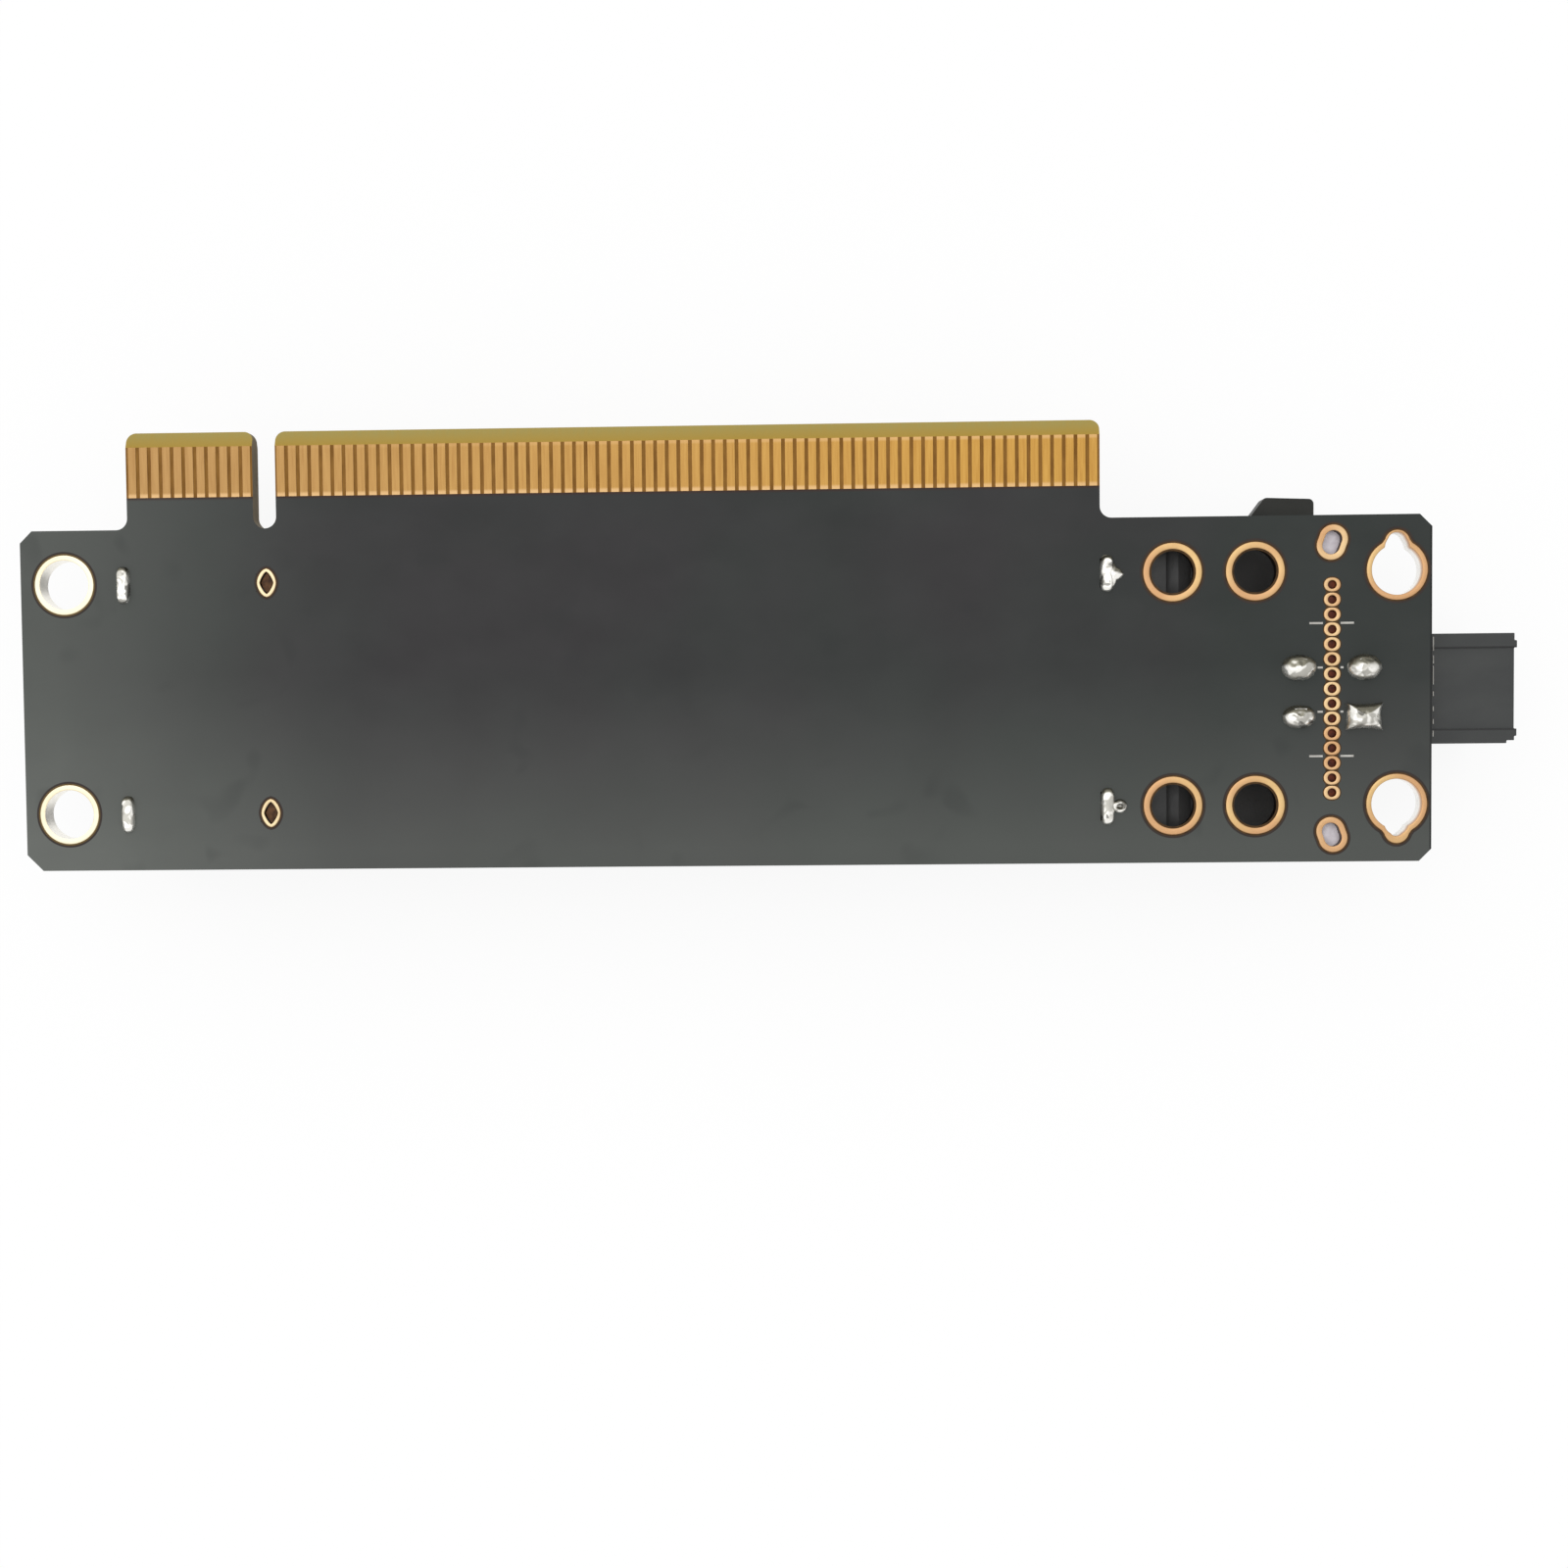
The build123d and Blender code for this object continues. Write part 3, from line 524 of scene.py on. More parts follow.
def make_piece(name, bm, material, body=BODY, smooth=40, replaces=()):
    """Turns a bmesh into a finished piece of the card."""
    bmesh.ops.remove_doubles(bm, verts=bm.verts, dist=SAME_POINT)
    bmesh.ops.recalc_face_normals(bm, faces=bm.faces)
    mesh = bpy.data.meshes.new(name)
    bm.to_mesh(mesh)
    bm.free()
    mesh.shade_smooth()
    mesh.set_sharp_from_angle(angle=math.radians(smooth))
    mesh.materials.append(material)
    piece = bpy.data.objects.new(name, mesh)
    bpy.context.scene.collection.objects.link(piece)
    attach(piece, body)
    if replaces:
        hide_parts(*replaces)
    print(name, len(mesh.polygons), "faces")


def add_block(bm, low, high):
    """Adds a box between two corners to a bmesh."""
    middle = (Vector(low) + Vector(high)) / 2
    size = Vector(high) - Vector(low)
    shape = Matrix.Translation(middle) @ Matrix.Diagonal((*size, 1))
    bmesh.ops.create_cube(bm, size=1.0, matrix=shape)


# %% [markdown]
# ## Rings that grow into shapes
#
# Pads, solder joints and springs are all made in one way here. A circle of edges is drawn, and
# rings are extruded from it, each from the last. Only then does every ring move to its own station:
# the outline and the height that it has on the piece. Because each new ring keeps the order of the
# last one, no face can twist or cover a hole, which joining two ready-made rings may do.

# %% Ring helper
PAD_POINTS = 32
SMALL_TURN = 0.01


def grow_rings(bm, stations, points=PAD_POINTS, capped=False):
    """Extrudes a circle once for each further station and moves every ring to its station."""
    ring = bmesh.ops.create_circle(bm, cap_ends=False, radius=1.0, segments=points)["verts"]
    first = edges = list(dict.fromkeys(edge for v in ring for edge in v.link_edges))
    rings = [ring]
    for _ in stations[1:]:
        made = bmesh.ops.extrude_edge_only(bm, edges=edges)["geom"]
        ring = [part for part in made if isinstance(part, bmesh.types.BMVert)]
        edges = [part for part in made if isinstance(part, bmesh.types.BMEdge)]
        rings.append(ring)
    for ring, station in zip(rings, stations):
        for v in ring:
            v.co = station(math.atan2(v.co.y, v.co.x))
    if capped:
        bmesh.ops.contextual_create(bm, geom=first)
        bmesh.ops.contextual_create(bm, geom=edges)
    return [v for ring in rings for v in ring]


def level(centre, outline, height, width=0.0, share=1.0, inwards=0.0):
    """A station: an outline at a height.

    It may be drawn in to a share of its size or by a distance towards its middle, and it may be
    set out by a width, square to its own run.
    """
    def station(angle):
        point = outline(angle) * share
        point *= 1 - inwards / point.length
        run = outline(angle + SMALL_TURN) - outline(angle - SMALL_TURN)
        point += Vector((run.y, -run.x)).normalized() * width
        return centre + Vector((point.x, point.y, height)) * MM

    return station


# %% Outlines
def oval(half_x, half_y, power=2.0):
    """An oval, or with a higher power a rounded oblong, or with a lower one a diamond."""
    def outline(angle):
        across_x = abs(math.cos(angle) / half_x) ** power
        across_y = abs(math.sin(angle) / half_y) ** power
        reach = (across_x + across_y) ** (-1 / power)
        return Vector((math.cos(angle), math.sin(angle))) * reach

    return outline


def circle(radius):
    """A plain circle."""
    return oval(radius, radius)


def with_circles(outline, *circles):
    """The same outline with circles (x, y, radius) run together with it."""
    def joined(angle):
        way = Vector((math.cos(angle), math.sin(angle)))
        reach = outline(angle).length
        for x, y, radius in circles:
            aside = x * way.y - y * way.x
            ahead = x * way.x + y * way.y
            if ahead > 0 and abs(aside) < radius:
                reach = max(reach, ahead + math.sqrt(radius**2 - aside**2))
        return way * reach

    return joined


def hollow_square(half_x, half_y, hollow):
    """An oblong with pointed corners whose sides bow inwards."""
    def outline(angle):
        way = Vector((math.cos(angle), math.sin(angle)))
        way /= max(abs(way.x), abs(way.y))
        x = way.x * (half_x - hollow * (1 - way.y**2))
        y = way.y * (half_y - hollow * (1 - way.x**2))
        return Vector((x, y))

    return outline


print("outlines ready")

# %% [markdown]
# ## Plated pads of the small holes
#
# Fifteen small holes wait for a connector that isn't fitted. Each has a flat oblong pad round a
# round hole, and the pad's lips are rounded. A collar is a stack of rings: over the pad from the
# hole outwards, down the outside, back in on the far face and up the hole again. The same helper
# makes the twin holes, whose outline is two circles run together, and the pads of the slots' pegs.

# %% Collar helper
PAD_RISE = 0.04
FAR_FACE = (COMPONENT_FACE - SOLDER_FACE) / MM
LIP_CURVE = ((0.2, 0.0), (0.75, 0.35), (1.0, 1.0))


def add_collar(bm, centre, hole, pad, points=PAD_POINTS, lip=0.09):
    """A plated collar: a pad on each face and a lining in the hole."""
    far = FAR_FACE - PAD_RISE
    inner = [level(centre, hole, up * PAD_RISE, run * lip) for up, run in LIP_CURVE]
    outer = [level(centre, pad, up * PAD_RISE, -run * lip) for up, run in reversed(LIP_CURVE)]
    back = [level(centre, pad, far), level(centre, hole, far)]
    grow_rings(bm, [*inner, *outer, *back, inner[0]], points)


# %% Pads of the pin row, the twin holes and the pegs
MIDDLE_LINE = -14.815
ROW_X = 91.79
ROW_PITCH = 1.27
ROW_COUNT = 15
ROW_RADIUS = 0.37
ROW_PAD = oval(0.7, 0.6, 2.2)
TWIN_REACH = ROW_PITCH * (ROW_COUNT - 1) / 2 + 3.6
TWIN_RADIUS = 0.74
TWIN_PAD_RADIUS = 1.23
TWIN_POINTS = 48
TWIN_LEAN = 0.1
TWIN_APART = 0.28
PEG_X = 0.05
PEG_HOLE = oval(0.6, 0.98, 1.3)
PEG_PAD = oval(0.84, 1.24, 1.7)


def twin(side, radius):
    """Two circles run together, the higher one leaning to one side."""
    x, y = side * TWIN_LEAN, TWIN_APART
    return with_circles(circle(radius), (x, y, radius), (-x, -y, radius))


row_heights = [MIDDLE_LINE + ROW_PITCH * (i - (ROW_COUNT - 1) / 2) for i in range(ROW_COUNT)]
row_centres = [on_board(ROW_X, y) for y in row_heights]
twins = [(on_board(ROW_X, MIDDLE_LINE + side * TWIN_REACH), side) for side in (1, -1)]
peg_centres = [on_board(PEG_X, axis) for axis in AXES]

bm = bmesh.new()
for centre in row_centres:
    add_collar(bm, centre, circle(ROW_RADIUS), ROW_PAD)
for centre, side in twins:
    add_collar(bm, centre, twin(side, TWIN_RADIUS), twin(side, TWIN_PAD_RADIUS), TWIN_POINTS)
make_piece("pin_hole_pads", bm, pin_gold, replaces=["pin_hole_linings"])
bm = bmesh.new()
for centre in peg_centres:
    add_collar(bm, centre, PEG_HOLE, PEG_PAD)
make_piece("peg_pads", bm, peg_gold)

# %% [markdown]
# ## Plated rings of the screw holes
#
# The eight large holes are lined in the same way. The two at the right end are keyholes: a small
# lobe lets a screw's neck slide in. The lobe is two more circles run together with the round
# outline, and the lower keyhole's is slimmer. The same collar helper makes all of the rings, with
# more points because they are larger.

# %% Screw-hole rings
SCREW_POINTS = 128
SCREW_LIP = 0.1
SCREW_RADIUS, SCREW_PAD_RADIUS = 2.15, 2.58
SPARE_RADIUS, SPARE_PAD_RADIUS = 1.977, 2.5
SPARE_X = (78.24, 85.27)
WIDE_LOBE = ((2.35, 0.84), (1.9, 1.05))
SLIM_LOBE = ((2.15, 0.63), (1.6, 1.05))
LOBE_PAD = ((2.3, 1.08), (1.6, 1.42))


def keyhole(radius, side, lobe):
    """A round hole with a lobe on one side, given as circles (distance, radius)."""
    return with_circles(circle(radius), *((0.0, side * far, size) for far, size in lobe))


screw_holes = []
for side, axis, lobe in ((1, UPPER_AXIS, WIDE_LOBE), (-1, LOWER_AXIS, SLIM_LOBE)):
    left_hole = on_board(LEFT_SCREW_X, axis)
    screw_holes.append((left_hole, circle(SCREW_RADIUS), circle(SCREW_PAD_RADIUS)))
    inside = keyhole(SCREW_RADIUS, side, lobe)
    outside = keyhole(SCREW_PAD_RADIUS, side, LOBE_PAD)
    screw_holes.append((on_board(KEYHOLE_X, axis), inside, outside))
    for x in SPARE_X:
        screw_holes.append((on_board(x, axis), circle(SPARE_RADIUS), circle(SPARE_PAD_RADIUS)))
bm = bmesh.new()
for centre, hole, pad in screw_holes:
    add_collar(bm, centre, hole, pad, SCREW_POINTS, SCREW_LIP)
make_piece("screw_hole_rings", bm, screw_gold, replaces=["screw_hole_linings"])

# %% [markdown]
# ## Bare laminate, thin mask and flux round the pads
#
# The solder mask keeps a small distance from every pad, so a thin dark brown line of laminate shows
# round each ring, and between the pads of the row. Outside that line the mask is thin, and a brown
# rim shows through it. Old flux left a like line inside the spare holes. All of them are very thin
# flat rings, made with the ring helper. Those round the pads lie a hair above the mask.


# %% Finishes for the thin pieces
def speckled(name, dark, light, roughness, spots, grain, relief, gloss=0.5, at_left=None):
    """A finish of two close shades in spots, with a fine grain whose relief is in microns."""
    finish = Finish(name, roughness, gloss=gloss)
    shade = finish.blend(finish.spots(*spots), screen(*dark), screen(*light))
    if at_left:
        is_left = finish.maths("LESS_THAN", finish.axis("X"), PALE_END)
        shade = finish.blend(is_left, shade, screen(*at_left))
    finish.colour(shade)
    finish.bump(finish.noise(grain, 2.0), relief * MICRON)
    return finish.material


laminate = speckled(
    "bare_laminate",
    (56, 38, 18),
    (84, 60, 32),
    roughness=0.7,
    spots=(1800, 2.0),
    grain=3000,
    relief=8,
    gloss=MATT_GLOSS,
    at_left=(104, 84, 48),
)
thin_mask = speckled("thin_mask", (50, 43, 40), (58, 50, 46), 0.65, (700, 2.0), 2600, 8, MATT_GLOSS)
print("laminate and thin mask ready")

# %% Flat rings round the pads
RING_LIFT = 0.012
RING_SINK = 0.01
UNDER_PAD = 0.04
GAP_REACH = 0.55
GAP_START = 0.44
ROW_LINE, TWIN_LINE, PEG_LINE, SCREW_LINE = 0.08, 0.14, 0.1, 0.13
TWIN_RIM, PEG_RIM, SCREW_RIM = (0.1, 0.26), (0.06, 0.24), (0.1, 0.3)

row_pads = [(centre, ROW_PAD) for centre in row_centres]
twin_pads = [(centre, twin(side, TWIN_PAD_RADIUS)) for centre, side in twins]
peg_pads = [(centre, PEG_PAD) for centre in peg_centres]
screw_pads = [(centre, pad) for centre, _, pad in screw_holes]


def add_bands(bm, places, inner, outer, top, points=PAD_POINTS, bottom=-RING_SINK):
    """Thin flat rings, each between two distances from an outline at its place."""
    for centre, outline in places:
        corners = ((inner, bottom), (inner, top), (outer, top), (outer, bottom), (inner, bottom))
        stations = [level(centre, outline, height, width) for width, height in corners]
        grow_rings(bm, stations, points)


bm = bmesh.new()
add_bands(bm, row_pads, -UNDER_PAD, ROW_LINE, RING_LIFT)
for low_y, high_y in zip(row_heights, row_heights[1:]):
    low = on_board(ROW_X - GAP_REACH, low_y + GAP_START)
    high = on_board(ROW_X + GAP_REACH, high_y - GAP_START, SOLDER_FACE + 0.5 * RING_LIFT * MM)
    add_block(bm, low, high)
add_bands(bm, twin_pads, -UNDER_PAD, TWIN_LINE, RING_LIFT, TWIN_POINTS)
add_bands(bm, peg_pads, -UNDER_PAD, PEG_LINE, RING_LIFT)
add_bands(bm, screw_pads, -UNDER_PAD, SCREW_LINE, RING_LIFT, SCREW_POINTS)
make_piece("laminate_rings", bm, laminate)

bm = bmesh.new()
add_bands(bm, screw_pads, *SCREW_RIM, 0.5 * RING_LIFT, SCREW_POINTS)
add_bands(bm, twin_pads, *TWIN_RIM, 0.5 * RING_LIFT, TWIN_POINTS)
add_bands(bm, peg_pads, *PEG_RIM, 0.5 * RING_LIFT)
make_piece("mask_rims", bm, thin_mask)

# %% Flux in the spare holes
FLUX_DEPTH = 0.05
FLUX_WIDTH = 0.17
FLUX_THICKNESS = 0.03
INTO_WALL = 0.02

spare_holes = [(on_board(x, axis), circle(SPARE_RADIUS)) for axis in AXES for x in SPARE_X]
bottom = -FLUX_DEPTH - FLUX_THICKNESS
bm = bmesh.new()
add_bands(bm, spare_holes, -FLUX_WIDTH, INTO_WALL, -FLUX_DEPTH, SCREW_POINTS, bottom)
make_piece("flux_lines", bm, laminate)

# %% [markdown]
# ## What fills the small holes
#
# The row's holes hold dark reddish brown plugs, a painted shade for the dark inside of the holes.
# The twin holes hold a pale grey sheet deeper down, a painted shade for the shaded sheet under the
# card. In the middle of each peg's ring the end of the plastic peg shows, browned by heat. Each
# filling is a short stack of rings, closed at both ends and a little domed.

# %% Fillings
INTO_LINING = 0.01
DOME = ((0.04, 1.0), (0.01, 0.75), (0.0, 0.4))
PEG_TIP = oval(0.52, 0.9, 1.15)
ROW_SHADE_PLUG, TWIN_SHADE_FILM, PEG_END = (-0.14, 0.4), (-0.68, 0.2), (-0.12, 0.25)

# Painted shade: the plugs stand for the shade inside the row's holes.
painted_shade_plug = speckled(
    "red_brown_shade_plug", (50, 14, 4), (96, 40, 14), 0.5, (2600, 2.0), 3200, 10, MATT_GLOSS
)
# Painted shade: this pale grey sheet in the twin holes stands for the shaded sheet under the card.
painted_shade_film = speckled("pale_shade_film", (214, 206, 212), (236, 230, 235), 0.6, (1500, 2.0), 2600, 10)
browned = speckled(
    "browned_peg", (50, 27, 8), (98, 66, 38), 0.5, (2200, 2.0), 2600, 10, MATT_GLOSS
)


def add_filling(bm, centre, outline, top, thickness, points=PAD_POINTS):
    """A domed plug in a hole, with its top that far above the solder face."""
    stations = [level(centre, outline, top - thickness)]
    stations += [level(centre, outline, top - drop, share=share) for drop, share in DOME]
    grow_rings(bm, stations, points, capped=True)


bm = bmesh.new()
for centre in row_centres:
    add_filling(bm, centre, circle(ROW_RADIUS + INTO_LINING), *ROW_SHADE_PLUG)
make_piece("row_hole_shade_plugs", bm, painted_shade_plug)
bm = bmesh.new()
for centre, side in twins:
    add_filling(bm, centre, twin(side, TWIN_RADIUS + INTO_LINING), *TWIN_SHADE_FILM, TWIN_POINTS)
make_piece("twin_hole_shade_films", bm, painted_shade_film)
bm = bmesh.new()
for centre in peg_centres:
    add_filling(bm, centre, PEG_TIP, *PEG_END)
make_piece("peg_tips", bm, browned)

# %% [markdown]
# ## Solder joints
#
# A solder joint is a drop that wetted its pad and froze: broad at the pad, steep at the pin, with a
# smooth top. It is a capped stack of rings drawn in along a curve, which lists shares of the height
# and of the outline. The square joint stands on a square pad, so its corners are pointed and its
# sides bow in. Noise then makes every joint a little different.

# %% Joint helper
CURVE = (
    (0.0, 1.0),
    (0.1, 0.985),
    (0.26, 0.95),
    (0.44, 0.88),
    (0.6, 0.79),
    (0.74, 0.67),
    (0.85, 0.54),
    (0.93, 0.4),
    (0.98, 0.24),
    (1.0, 0.08),
)
LUMP_SIZE = 0.65 * MM
GENTLE_TURN = 80


def add_joint(bm, centre, outline, height, lumps, seed, points=48, narrow=None, curve=CURVE):
    """One frozen drop of solder: drawn in by shares, or on a narrow pad by an even width."""
    origin = Vector((0, 0, 0))
    stations = []
    for rise, share in curve:
        if narrow:
            inwards = (1 - share) * narrow
            stations.append(level(origin, outline, rise * height, inwards=inwards))
        else:
            stations.append(level(origin, outline, rise * height, share=share))
    made = grow_rings(bm, stations, points, capped=True)
    for v in made:
        if v.co.z > 0:
            push = noise.noise(v.co / LUMP_SIZE + Vector((seed, seed * 2, 0)))
            v.co.x *= 1 + lumps * push
            v.co.y *= 1 + lumps * push
            v.co.z *= 1 - 3 * lumps * abs(push)
    bmesh.ops.translate(bm, verts=made, vec=centre)


# %% Joints of the power pins
NEAR_PIN_X = 94.47
FAR_PIN_X = 88.97
JOINT_Y = -15.08
HALF_PITCH = 2.1
JOINT_HEIGHT = 1.02
PIN_JOINTS = (
    (FAR_PIN_X, HALF_PITCH, oval(1.46, 1.08, 2.2), 0.08, 0.0),
    (NEAR_PIN_X + 0.05, HALF_PITCH, oval(1.46, 1.1), 0.08, 3.1),
    (FAR_PIN_X, -HALF_PITCH, oval(1.41, 0.98, 2.2), 0.09, 6.2),
    (NEAR_PIN_X, -HALF_PITCH, hollow_square(1.6, 1.18, 0.16), 0.05, 11.0),
)

bm = bmesh.new()
for x, up, outline, lumps, seed in PIN_JOINTS:
    add_joint(bm, on_board(x, JOINT_Y + up), outline, JOINT_HEIGHT, lumps, seed)
replaced = ["power_pin_solder"]
make_piece("power_pin_joints", bm, solder, smooth=GENTLE_TURN, replaces=replaced)

# %% [markdown]
# The hold-downs' joints are long bars. Beside each right-hand bar the solder ran out into a lobe, a
# pointed one at the upper slot and a round one with a dimple at the lower slot. Bar and lobe are
# drops of their own that run into each other.

# %% Joints of the hold-downs
HOLD_JOINT_HEIGHT = 0.48
LOBE_HEIGHT = HOLD_JOINT_HEIGHT * 0.9
HOLD_POINTS = 64
HALF_BAR = 0.58
BAR = oval(HALF_BAR, 1.57, 3.4)
BARS = (
    (-12.5, UPPER_AXIS - 0.05),
    (-12.5, LOWER_AXIS),
    (72.64, UPPER_AXIS - 0.03),
    (72.66, LOWER_AXIS),
)
POINTED_LOBE = with_circles(
    oval(0.5, 1.05, 1.5), (0.3, 0.05, 0.55), (0.62, 0.02, 0.32), (0.8, 0.0, 0.18)
)
ROUND_LOBE = with_circles(circle(0.6), (-0.4, 0.0, 0.45))
DIMPLED = (
    *CURVE[:4],
    (0.58, 0.8),
    (0.66, 0.7),
    (0.68, 0.56),
    (0.62, 0.42),
    (0.3, 0.3),
    (0.12, 0.2),
    (0.1, 0.06),
)
LOBES = (
    (73.1, UPPER_AXIS - 0.14, POINTED_LOBE, 0.08, 21.0, CURVE),
    (73.7, LOWER_AXIS, ROUND_LOBE, 0.05, 24.0, DIMPLED),
)

bm = bmesh.new()
for i, (x, y) in enumerate(BARS):
    place, seed = on_board(x, y), 5.0 + 3 * i
    add_joint(bm, place, BAR, HOLD_JOINT_HEIGHT, 0.07, seed, HOLD_POINTS, HALF_BAR * 0.8)
for x, y, outline, lumps, seed, curve in LOBES:
    add_joint(bm, on_board(x, y), outline, LOBE_HEIGHT, lumps, seed, HOLD_POINTS, curve=curve)
replaced = ["hold_down_solder"]
make_piece("hold_down_joints", bm, solder, smooth=GENTLE_TURN, replaces=replaced)

# %% [markdown]
# ## Printed lines
#
# White ink marks where the connector's outline would be. The print is so thin that it has no
# visible edge, but it still covers the mask, so each line is a very thin flat block. Every line is
# broken in the middle, where the row of holes is.

# %% Printed lines
LINE_WIDTH = 0.17
INK_LIFT = 0.01 * MM
BREAK_LEFT, BREAK_RIGHT = 91.0, 92.5
LINES = (
    (-9.2, 89.86, 93.63),
    (-20.57, 89.86, 93.63),
    (-12.99, 90.56, 92.75),
    (-16.77, 90.56, 92.75),
)

ink = speckled("printed_ink", (196, 194, 188), (164, 160, 154), 0.7, (1600, 3.0), 4000, 5)
bm = bmesh.new()
for y, line_left, line_right in LINES:
    for left, right in ((line_left, BREAK_LEFT), (BREAK_RIGHT, line_right)):
        low = on_board(left, y - LINE_WIDTH / 2)
        high = on_board(right, y + LINE_WIDTH / 2, SOLDER_FACE + INK_LIFT)
        add_block(bm, low, high)
make_piece("printed_lines", bm, ink)

# %% [markdown]
# ## Pale marks on the header
#
# Along the board's edge the header's top has a row of pale marks.
# They are thin flat blocks on the header's top face.

# %% Pale marks
PALE_MARK_X = 100.9
PALE_MARK_WIDTH = 0.07
PALE_MARK_SINK = 0.02 * MM
PALE_MARKS = (
    (-10.4, -11.6),
    (-12.0, -12.7),
    (-12.9, -14.5),
    (-15.1, -15.5),
    (-16.4, -16.8),
    (-17.5, -17.9),
    (-18.5, -19.0),
)

header_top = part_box("power_header_housing")[1][2]
bm = bmesh.new()
for top, bottom in PALE_MARKS:
    low = on_board(PALE_MARK_X - PALE_MARK_WIDTH / 2, bottom, header_top - PALE_MARK_SINK)
    high = on_board(PALE_MARK_X + PALE_MARK_WIDTH / 2, top, header_top + INK_LIFT)
    add_block(bm, low, high)
make_piece("header_pale_marks", bm, ink)
print("header's top at", round(header_top * 1000, 3), "mm")

# %% [markdown]
# ## Contact springs
#
# Each contact of a slot is a strip of spring metal. Its foot is soldered to the board beside the
# housing, it passes under the wall, climbs inside and bows out to touch the card. One strip is made
# with the ring helper: a ring of four points is the strip's section, and each station sets it
# square to the run of the strip. The line lists distances from the slot's axis and depths below the
# board. The strip is then copied along the row.

# %% Springs
SPRING_LINE = (
    (4.3, 0.12),
    (1.75, 0.12),
    (1.42, 0.5),
    (1.12, 3.0),
    (0.86, 5.6),
    (0.74, 7.2),
    (0.92, 8.5),
    (1.12, 9.0),
)
SPRING_WIDTH = 0.42
SPRING_THICKNESS = 0.2
BEFORE_KEY = [-11.5 + i for i in range(11)]
AFTER_KEY = [1.5 + i for i in range(71)]

spring_metal = Finish("spring_metal", 0.34, 0.85)
wear = spring_metal.spots(1200, 3.0, stretch=(1, 1, 0.3))
spring_metal.colour(spring_metal.blend(wear, screen(214, 186, 130), screen(186, 156, 104)))
spring_metal.roughness(spring_metal.spread(wear, 0, 1, 0.26, 0.42))
spring_metal.bump(spring_metal.noise(2600, 2.0, (1, 1, 0.4)), 6 * MICRON)


def strip_station(point, out, side):
    """A station for one point of the strip: the section's four corners, square to the run."""
    def station(angle):
        wide = math.copysign(SPRING_WIDTH / 2, math.cos(angle + math.pi / 4))
        thick = math.copysign(SPRING_THICKNESS / 2, math.sin(angle + math.pi / 4))
        y, depth = point + out * thick
        return Vector((wide * MM, side * y * MM, COMPONENT_FACE - depth * MM))

    return station


def spring_row(name, axis, side, replaced):
    """All the springs of one side of one slot."""
    line = [Vector(point) for point in SPRING_LINE]
    runs = [(b - a).normalized() for a, b in zip(line, line[1:])]
    stations = []
    for i, point in enumerate(line):
        run = (runs[max(i - 1, 0)] + runs[min(i, len(runs) - 1)]).normalized()
        stations.append(strip_station(point, Vector((-run.y, run.x)), side))
    bm = bmesh.new()
    strip = grow_rings(bm, stations, 4, capped=True)
    pattern = strip + list(bm.edges) + list(bm.faces)
    for x in BEFORE_KEY + AFTER_KEY:
        copy = bmesh.ops.duplicate(bm, geom=pattern)["geom"]
        verts = [part for part in copy if isinstance(part, bmesh.types.BMVert)]
        bmesh.ops.translate(bm, verts=verts, vec=on_board(x, axis, 0.0))
    bmesh.ops.delete(bm, geom=strip, context="VERTS")
    material = spring_metal.material
    make_piece(name, bm, material, smooth=50, replaces=[replaced])


for side_name, axis in (("upper", UPPER_AXIS), ("lower", LOWER_AXIS)):
    for row_name, side in (("tongue_side", 1), ("far_side", -1)):
        name = f"{side_name}_springs_{row_name}"
        spring_row(name, axis, side, f"{side_name}_slot_springs_{row_name}")

# %% [markdown]
# ## Ribs between the springs
#
# Inside a slot a thin plastic rib stands between every two springs and keeps them apart. They are
# plain thin blocks, and there are many, so each has only six faces.

# %% Ribs
RIB_THICKNESS = 0.22
RIB_INSIDE = 0.95
RIB_OUTSIDE = 2.02
RIB_TOP = 1.15
RIB_FOOT = 0.4
HALF_CONTACT_PITCH = 0.5


def slot_ribs(name, axis):
    """The ribs on both sides of one slot."""
    bm = bmesh.new()
    for group in (BEFORE_KEY, AFTER_KEY):
        for x in group[:-1]:
            middle = x + HALF_CONTACT_PITCH
            for side in (1, -1):
                y = sorted((side * RIB_INSIDE, side * RIB_OUTSIDE))
                left, right = middle - RIB_THICKNESS / 2, middle + RIB_THICKNESS / 2
                low = on_board(left, axis + y[0], RIB_TOP * MM)
                high = on_board(right, axis + y[1], COMPONENT_FACE - RIB_FOOT * MM)
                add_block(bm, low, high)
    make_piece(name, bm, slot_plastic)


slot_ribs("upper_slot_ribs", UPPER_AXIS)
slot_ribs("lower_slot_ribs", LOWER_AXIS)

# %% [markdown]
# ## Chip parts
#
# The small capacitors and resistors have a ceramic body with a tinned cap on each end. The bodies
# are plain blocks, and the caps are blocks with bevelled edges that stand a little proud of them.
# Both are set where the CAD model has its plain blocks.

# %% Chip parts
CHIP_MIDDLE = 20.0
CHIP_SIZE = 5.0
CHIP_ROWS = (MIDDLE_LINE - CHIP_SIZE / 3, MIDDLE_LINE + CHIP_SIZE / 3)
PART_LENGTH = 1.6
PART_WIDTH = 0.8
FIRST_PART = CHIP_SIZE / 2 + 1.2 + PART_LENGTH / 2
PART_STEP = PART_LENGTH + 1.9
PARTS_IN_ROW = 3
CAP_LENGTH = 0.32
CAP_EDGE = 0.05
BODY_NARROWER = 0.02
BODY_LOWER = 0.03
CAPACITOR_HEIGHT = 0.8
RESISTOR_HEIGHT = 0.45

ceramic = speckled(
    "fired_ceramic", (150, 116, 80), (172, 138, 98), 0.5, (5000, 2.0, 0.35, 0.65), 7000, 8
)


